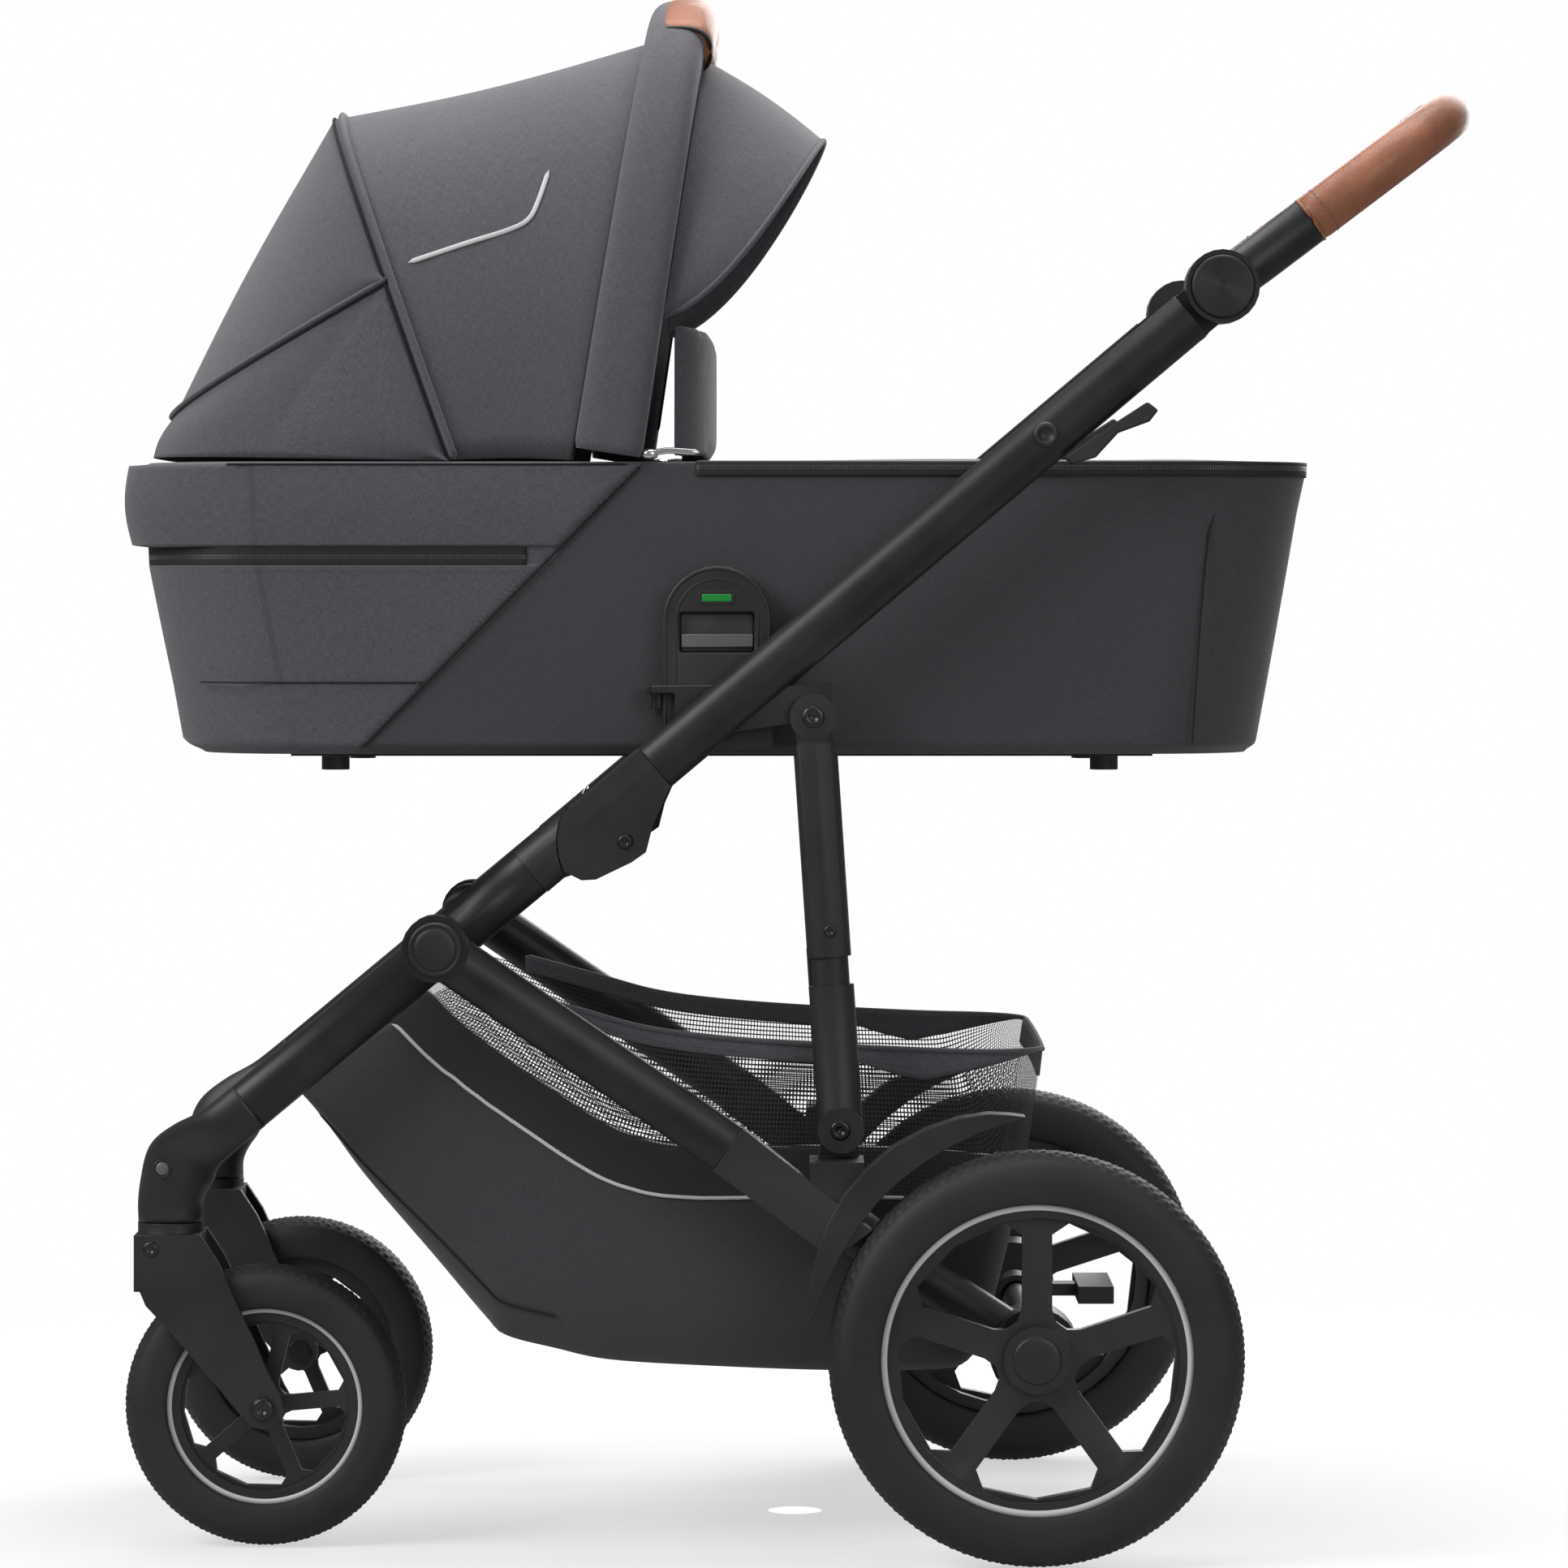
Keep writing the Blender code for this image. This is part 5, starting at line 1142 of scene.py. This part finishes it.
STEPS = 150
lower, upper, piping = side_line(LOWER, STEPS), side_line(UPPER, STEPS), side_line(PIPING, 200)
q = np.linspace(0, 1, 201)[None, :, None]
wall_points = upper[:, None] * (1 - q) + lower[:, None] * q
seam_height = np.interp(wall_points[..., 0], piping[:, 0], piping[:, 1], left=1.0)
below = wall_points[..., 1] < seam_height
cut = np.where(below.any(axis=1), np.argmax(below, axis=1), 200) / 200.0
cut = np.convolve(np.pad(cut, 2, mode="edge"), np.ones(5) / 5, mode="valid")
back = int(np.argmax((lower[:, 0] > 0.14) & (lower[:, 1] > 0.2445)))
front = int(np.argmax(cut > 0.015))


def wall(t, share, sign):
    """A point of the side wall on line t, share of the way down: it bellies out, then tucks in below."""
    flat = upper[t] * (1 - share) + lower[t] * share
    belly = 0.0040 * np.sin(math.pi * share[..., 0]) * np.sin(math.pi * t / STEPS)
    half = basket_half(flat[..., 0]) * (1.0 - 0.10 * share[..., 0] ** 12) + belly
    return np.stack([flat[..., 0], sign * half, flat[..., 1]], -1)


def between(t, first, last, count, sign):
    """count rows of the wall between two shares, for the lines t."""
    share = first[:, None] + (last - first)[:, None] * np.linspace(0, 1, count)[None, :]
    return np.stack([wall(t, share[:, n:n + 1], sign) for n in range(count)], axis=1)


# %% Cloth, net and hoop
t = np.arange(0, back + 1)
near_wall = between(t, cut[t], np.ones(len(t)), 22, -1.0)
far_wall = between(t, cut[t], np.ones(len(t)), 22, 1.0)[:, ::-1]
v = np.linspace(-1, 1, 41)[1:-1]
half = near_wall[:, -1, 1][:, None]
sag = 0.0035 * (1 - v ** 2)[None, :]
bottom = np.stack([lower[t, 0][:, None] + 0 * v, -half * v, lower[t, 1][:, None] - sag], -1)
bag = skin("basket_bag", np.concatenate([near_wall, bottom, far_wall], axis=1), BASKET_CLOTH, wall=0.0012)
settle(bag, "front_frame", "fabric", "basket")
print("the net starts at line", front, "and the back at", back)
cloth(bag, (0.62, 0.78), ["front_tube_near", "front_tube_far"], "hung")
t = np.arange(front, STEPS)
for side, sign in SIDES:
    net = skin(f"basket_net_{side}", between(t, np.full(len(t), 0.03), np.maximum(cut[t], 0.05), 14, sign),
               NET)
    settle(net, "front_frame", "fabric")
    cloth(net, (0.13, 0.42), ["basket_bag"], "hung")
    seam = np.array([wall(np.array([n]), np.array([[cut[n]]]), sign)[0]
                     for n in range(front, back + 1)]) + np.array([0, sign * 0.0006, 0])
    settle(cord_along(f"basket_piping_{side}", seam, 0.0013, REFLECTIVE), "front_frame", "grey_plastic")
    rows = np.arange(46, STEPS)
    band = between(rows, np.zeros(len(rows)),
                   np.interp(upper[rows, 0], [-0.24, 0.04, 0.08], [0.045, 0.06, 0.16]), 6, sign)
    band[..., 1] += sign * 0.0011
    hoop_side = skin(f"basket_rim_{side}", band, MELANGE, wall=0.0022)
    settle(hoop_side, "front_frame", "fabric")
    cloth(hoop_side, (0.016, 0.44), [f"basket_net_{side}"])
    settle(cord_along(f"basket_rim_edge_{side}", band[:, 0], 0.0019, MELANGE), "front_frame", "fabric")
    settle(stitches(f"stitch_rim_{side}", band[:, 3] + np.array([0, sign * 0.0016, 0]), (0, sign, 0)),
           "front_frame", "fabric")
    # A near-black cord along the fold: painted shadow in the crease.
    fold = np.array([wall(np.array([n]), np.array([[0.90]]), sign)[0]
                     for n in range(4, 52)]) + np.array([0, sign * 0.0012, 0])
    settle(cord_along(f"basket_fold_{side}", fold, 0.0008, SEAM_SHADOW), "front_frame", "black_plastic")

t = np.arange(back, STEPS)
v = np.linspace(-1, 1, 61)


def back_rows(heights, lift):
    """Rows across the back at given heights, following the plan's rounded corners."""
    x = np.interp(heights, lower[back:, 1], lower[back:, 0])
    half = basket_half(x)
    return np.stack([x[:, None] + lift + 0.0012 * (1 - v ** 2)[None], half[:, None] * v,
                     np.asarray(heights)[:, None] + 0 * v], -1)


net = skin("basket_net_back", back_rows(np.linspace(0.2450, 0.3480, 12), 0.0), NET)
settle(net, "front_frame", "fabric")
cloth(net, (0.105, 0.40), ["basket_bag"], "hung")
hoop = skin("basket_hoop", back_rows(np.linspace(0.3335, 0.3520, 5), 0.0012), MELANGE, wall=0.0024)
settle(hoop, "front_frame", "fabric")
cloth(hoop, (0.0190, 0.31), ["basket_net_back"])
settle(cord_along("basket_hoop_edge", back_rows(np.array([0.3520]), 0.0012)[0], 0.0019, MELANGE),
       "front_frame", "fabric")
settle(cord_along("basket_back_seam", back_rows(np.array([0.2450]), 0.0008)[0], 0.0013, REFLECTIVE),
       "front_frame", "grey_plastic")

# %% [markdown]
# ## Fasteners, caps and the dock
#
# Rivets and bolts are pieces of revolution with a small socket. The dock on the cot's side has a raised bead,
# a window for the latch, a green indicator and a lip that guides it into the frame.


# %% Rivets, bolts and caps
def face_of(node, sign):
    """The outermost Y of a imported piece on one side."""
    low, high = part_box(node)
    return high[1] if sign > 0 else low[1]


def fastener(name, x, z, y, sign, radius, body, slot, material, height=0.0016, socket=0.35):
    """A low dome with a round socket in its middle."""
    profile = [(0.0001, height * 0.2), (radius * socket, height * 0.2),
               (radius * (socket + 0.06), height * 0.95),
               (radius * 0.70, height), (radius * 0.90,
                                         height * 0.7), (radius, height * 0.1), (radius, -0.0012)]
    if socket == 0:
        profile = profile[3:]
        profile.insert(0, (0.0001, height * 1.06))
    piece = turned(name, (x, y, z), (0, sign, 0), profile, material, 40)
    return settle(piece, body, slot)


for side, sign in SIDES:
    cap = face_of(f"leg_pivot_cap_{side}", sign)
    fastener(f"hub_cap_{side}", -0.251, 0.430, cap, sign, 0.0150, "rear_frame", "black_plastic", NYLON,
             0.0014, 0)
    hub_ring = [(0.0163, -0.0004), (0.0168, 0.0006), (0.0176, 0.0006), (0.0180, -0.0004)]
    settle(turned(f"hub_ring_{side}", (-0.251, cap, 0.430), (0, sign, 0), hub_ring, NYLON, 56),
           "rear_frame", "black_plastic")
    housing = face_of(f"fold_housing_{side}", sign)
    fastener(f"fold_rivet_{side}", -0.1195, 0.5035, housing, sign, 0.0052, "upper_frame", "steel", DARK_STEEL)
    strut_face = face_of(f"strut_upper_{side}", sign)
    fastener(f"strut_bolt_{side}", 0.0125, 0.591, strut_face, sign, 0.0078, "struts", "steel", DARK_STEEL,
             0.0014)
    fastener(f"strut_rivet_{side}", 0.0245, 0.4405, strut_face, sign, 0.0046, "struts", "steel", DARK_STEEL,
             0.0010, 0.3)
    fastener(f"strut_pin_{side}", 0.0315, 0.301, face_of(f"strut_lower_{side}", sign), sign, 0.0072, "struts",
             "steel", DARK_STEEL)
    fastener(f"tube_boss_{side}", 0.1757, 0.7890, sign * 0.2470, sign, 0.0092, "upper_frame", "black_plastic",
             NYLON, 0.0022, 0.55)
    fastener(f"fork_bolt_{side}", STEER_X - 0.0115, 0.2130, face_of(f"caster_fork_{side}", sign), sign,
             0.0056, f"caster_{side}",
             "steel", DARK_STEEL, 0.0012)
    fastener(f"wheel_cap_{side}", 0.168, 0.145, face_of(f"rear_rim_{side}", sign), sign, 0.0170,
             f"rear_wheel_{side}",
             "black_plastic", WHEEL_NYLON, 0.0012, 0)
    fastener(f"axle_cap_{side}", FRONT_AXLE[0], FRONT_AXLE[2], face_of(f"front_axle_bolt_{side}", sign), sign,
             0.0078,
             f"caster_{side}", "steel", DARK_STEEL, 0.0014)
    disc = face_of(f"tilt_button_{side}", sign)
    radius = np.concatenate([np.linspace(0.0001, 0.0205, 75), [0.0212, 0.0216]])
    height = np.concatenate([0.0005 + 0.00022 * np.cos(np.linspace(0.0001, 0.0205, 75) * math.tau / 0.0011),
                             [0.0003, -0.001]])
    settle(turned(f"disc_grooves_{side}", (0.2995, disc, 0.893), (0, sign, 0), list(zip(radius, height)),
                  NYLON, 72),
           f"tilt_button_{side}", "black_plastic")


# %% The dock's details
def slab(name, outline, y_low, y_high, material, edge=0.0006):
    """A flat plate: an outline in side view between two Y, with its edges rounded."""
    form = bmesh.new()
    base = [form.verts.new((x, y_low, z)) for x, z in outline]
    face = form.faces.new(base)
    grown = bmesh.ops.extrude_face_region(form, geom=[face])
    bmesh.ops.translate(form, verts=[v for v in grown["geom"] if isinstance(v, bmesh.types.BMVert)],
                        vec=(0, y_high - y_low, 0))
    bmesh.ops.recalc_face_normals(form, faces=form.faces)
    mesh = bpy.data.meshes.new(name)
    form.to_mesh(mesh)
    form.free()
    mesh.materials.append(material)
    mesh.shade_smooth()
    mesh.set_sharp_from_angle(angle=math.radians(40))
    obj = bpy.data.objects.new(name, mesh)
    bpy.context.collection.objects.link(obj)
    bevel = obj.modifiers.new("rounded", "BEVEL")
    bevel.width, bevel.segments, bevel.limit_method = edge, 3, "ANGLE"
    return obj


def round_box(x0, z0, x1, z1, corner=0.0015, steps=6):
    """A rectangle with round corners in side view."""
    turns = np.linspace(0, math.pi / 2, steps)
    points = []
    for n, (cx, cz) in enumerate(((x1 - corner, z1 - corner), (x0 + corner, z1 - corner),
                                  (x0 + corner, z0 + corner),
                                  (x1 - corner, z0 + corner))):
        points += [(cx + corner * math.cos(a + n * math.pi / 2), cz + corner * math.sin(a + n * math.pi / 2))
                   for a in turns]
    return points


DOCK_X, DOCK_ARC = -0.0553, 0.6586
arch_turn = np.linspace(0, math.pi, 40)
for side, sign in SIDES:
    face = sign * 0.2152
    for name, radius, thick in (("outer", 0.0366, 0.0011), ("inner", 0.0290, 0.0008)):
        over = np.stack([DOCK_X + radius * np.cos(arch_turn), np.full(40, face),
                         DOCK_ARC + radius * np.sin(arch_turn)], 1)
        path = np.vstack([[(DOCK_X + radius, face, 0.575)], over, [(DOCK_X - radius, face, 0.575)]])
        settle(cord_along(f"dock_bead_{name}_{side}", path, thick, NYLON, flat=0.5, count=90), "cot",
               "black_plastic")
    low, high = sorted((sign * 0.2146, sign * 0.2159))
    settle(slab(f"dock_indicator_{side}", round_box(-0.0661, 0.6718, -0.0449, 0.6772, 0.0012), low, high,
                GREEN), "cot", "grey_plastic")
    settle(slab(f"dock_indicator_frame_{side}", round_box(-0.0685, 0.6698, -0.0425, 0.6792, 0.0022),
                low - sign * 0.0003,
                high - sign * 0.0003, WHEEL_NYLON, 0.0004), "cot", "black_plastic")
    low, high = sorted((sign * 0.2075, sign * 0.2092))
    settle(slab(f"latch_window_{side}", round_box(DOCK_X - 0.0255, 0.6368, DOCK_X + 0.0255, 0.6632, 0.002),
                low, high,
                grained(f"window grey {side}", (0.045, 0.045, 0.047), 0.4), 0.0004), "cot", "black_plastic")
    low, high = sorted((sign * 0.2006, sign * 0.2150))
    settle(slab(f"dock_lip_{side}", round_box(-0.1065, 0.6065, -0.0880, 0.6125, 0.0028), low, high, NYLON),
           "cot", "black_plastic")
    for n, x in enumerate((-0.1040, -0.0975)):
        settle(slab(f"dock_fin_{side}_{n}", round_box(x, 0.5960, x + 0.0028, 0.6080, 0.0008), low, high,
                    NYLON, 0.0004), "cot",
               "black_plastic")
print("fasteners and dock done")

# %% [markdown]
# ## The leather handle
#
# The grip is a sleeve of leather sewn round the bar: a round section carried along the bar's U, with a
# stitched seam on the inside of the bend and a turned edge at each end.

# %% Leather sleeve and its stitching
HANDLE_PIVOT, HANDLE_SLOPE = np.array([0.2995, 0.0, 0.893]), math.radians(37)
bend = np.linspace(0, math.pi / 2, 20)
reach = np.concatenate([[0.0783, 0.090, 0.105], 0.123 + 0.085 * np.sin(bend)])
half_y = np.concatenate([[0.235, 0.235, 0.235], 0.150 + 0.085 * np.cos(bend)])
reach = np.concatenate([reach, reach[::-1]])
wide = np.concatenate([-half_y, half_y[::-1]])
u_path = HANDLE_PIVOT + np.stack([reach * math.cos(HANDLE_SLOPE), wide, reach * math.sin(HANDLE_SLOPE)], 1)
u_path = along(u_path, 220, smooth=False)
plane = np.array([-math.sin(HANDLE_SLOPE), 0.0, math.cos(HANDLE_SLOPE)])
direction = np.gradient(u_path, axis=0)
direction /= np.linalg.norm(direction, axis=1, keepdims=True)
inner = np.cross(direction, plane)
turn = np.linspace(0, math.tau, 48, endpoint=False)
ends = np.minimum(np.arange(220), np.arange(220)[::-1])
size = 0.0170 * np.interp(ends, [0, 1, 2], [0.93, 0.985, 1.0])
seam_dent = 1.0 - 0.035 * np.exp(-((turn - math.pi) / 0.09) ** 2)
section = (inner[:, None] * (np.cos(turn) * seam_dent)[None, :, None]
           + plane[None, None] * (np.sin(turn) * seam_dent)[None, :, None])
grip_grid = u_path[:, None] + section * size[:, None, None]
grip = skin("leather_grip", grip_grid, LEATHER, closed_columns=True)
settle(grip, "handle", "leather", "handle_grip")
for name, column in (("a", 22), ("b", 26)):
    line = grip_grid[2:-2, column]
    settle(stitches(f"stitch_grip_{name}", line, plane, THREAD, pitch=0.0046), "handle", "leather")
for name, row in (("near", 0), ("far", -1)):
    loop = np.vstack([grip_grid[row], grip_grid[row][:1]])
    loop = u_path[row] + (loop - u_path[row]) * 1.05
    settle(cord_along(f"grip_edge_{name}", loop, 0.0012, LEATHER), "handle", "leather")
    line = u_path[4 if row == 0 else -5] + (grip_grid[4 if row == 0 else -5]
                                            - u_path[4 if row == 0 else -5]) * 1.01
    settle(stitches(f"stitch_cuff_{name}", np.vstack([line, line[:1]]), direction[row], THREAD, pitch=0.0040),
           "handle", "leather")
tip = grip_grid[88:132, 4:21]
tip_centre = u_path[88:132, None]
badge = skin("grip_band", tip_centre + (tip - tip_centre) * 1.03, NYLON, wall=0.0012)
settle(badge, "handle", "black_plastic")
print("handle done")

# %% [markdown]
# ## Floor, light and camera
#
# Black plastic on white only reads by what it reflects, so the room is dim and the lamps are large: one above
# and behind for the upper edges, one from the head end, and a weak fill in front. The white that the lens
# sees is kept apart from the light that falls on the stroller. The floor fades out round the wheels, and only
# carries their shadow.

# %% Studio
turn = np.linspace(0, math.tau, 96, endpoint=False)
rings = np.array([0.02, 0.4, 0.8, 1.2, 1.8])[:, None]
floor = skin("floor", np.stack([rings * np.cos(turn), rings * np.sin(turn), 0 * rings * turn - 0.0005], -1),
             COATED, closed_columns=True)
floor_finish = Finish("pale floor", (0.9, 0.9, 0.9), 0.95)
floor_x, floor_y, _ = floor_finish.axes()
reach = (floor_x * floor_x + floor_y * floor_y).math("SQRT")
floor_finish.feed("Alpha", (1.0 - reach.band(0.45, 1.5)) * 0.42)
floor.data.materials.clear()
floor.data.materials.append(floor_finish.material)

world = bpy.data.worlds.new("studio")
world.use_nodes = True
sky = world.node_tree
seen, lit = sky.nodes["Background"], sky.nodes.new("ShaderNodeBackground")
seen.inputs[0].default_value, seen.inputs[1].default_value = (1.0, 1.0, 1.0, 1.0), 1.0
lit.inputs[0].default_value, lit.inputs[1].default_value = (1.0, 1.0, 1.0, 1.0), 0.24
path, pick = sky.nodes.new("ShaderNodeLightPath"), sky.nodes.new("ShaderNodeMixShader")
for output, target in ((path.outputs["Is Camera Ray"], pick.inputs[0]), (lit.outputs[0], pick.inputs[1]),
                       (seen.outputs[0], pick.inputs[2]),
                       (pick.outputs[0], sky.nodes["World Output"].inputs[0])):
    sky.links.new(output, target)
bpy.context.scene.world = world
for name, place, turn, size, power in (
        ("head", (-2.4, -1.6, 2.3), (math.radians(55), 0, math.radians(-58)), 1.6, 62.0),
        ("fill", (1.8, -3.4, 1.6), (math.radians(68), 0, math.radians(28)), 1.8, 26.0),
        ("top", (0.1, 0.2, 3.0), (0, 0, 0), 2.0, 62.0),
        ("rim", (1.0, 2.6, 1.7), (math.radians(-62), 0, math.radians(-20)), 2.0, 60.0)):
    data = bpy.data.lights.new(name, "AREA")
    data.size, data.energy = size, power
    lamp = bpy.data.objects.new(name, data)
    lamp.location, lamp.rotation_euler = place, turn
    bpy.context.collection.objects.link(lamp)

lens = bpy.data.cameras.new("camera")
lens.lens, lens.sensor_width = 148.8, 36.0
lens.shift_x, lens.shift_y = 0.0, -0.130
camera = bpy.data.objects.new("camera", lens)
camera.location, camera.rotation_euler = (-0.008, -4.791, 0.687), (math.radians(90), 0, 0)
bpy.context.collection.objects.link(camera)
bpy.context.scene.camera = camera
bpy.context.scene.view_settings.view_transform = "Standard"
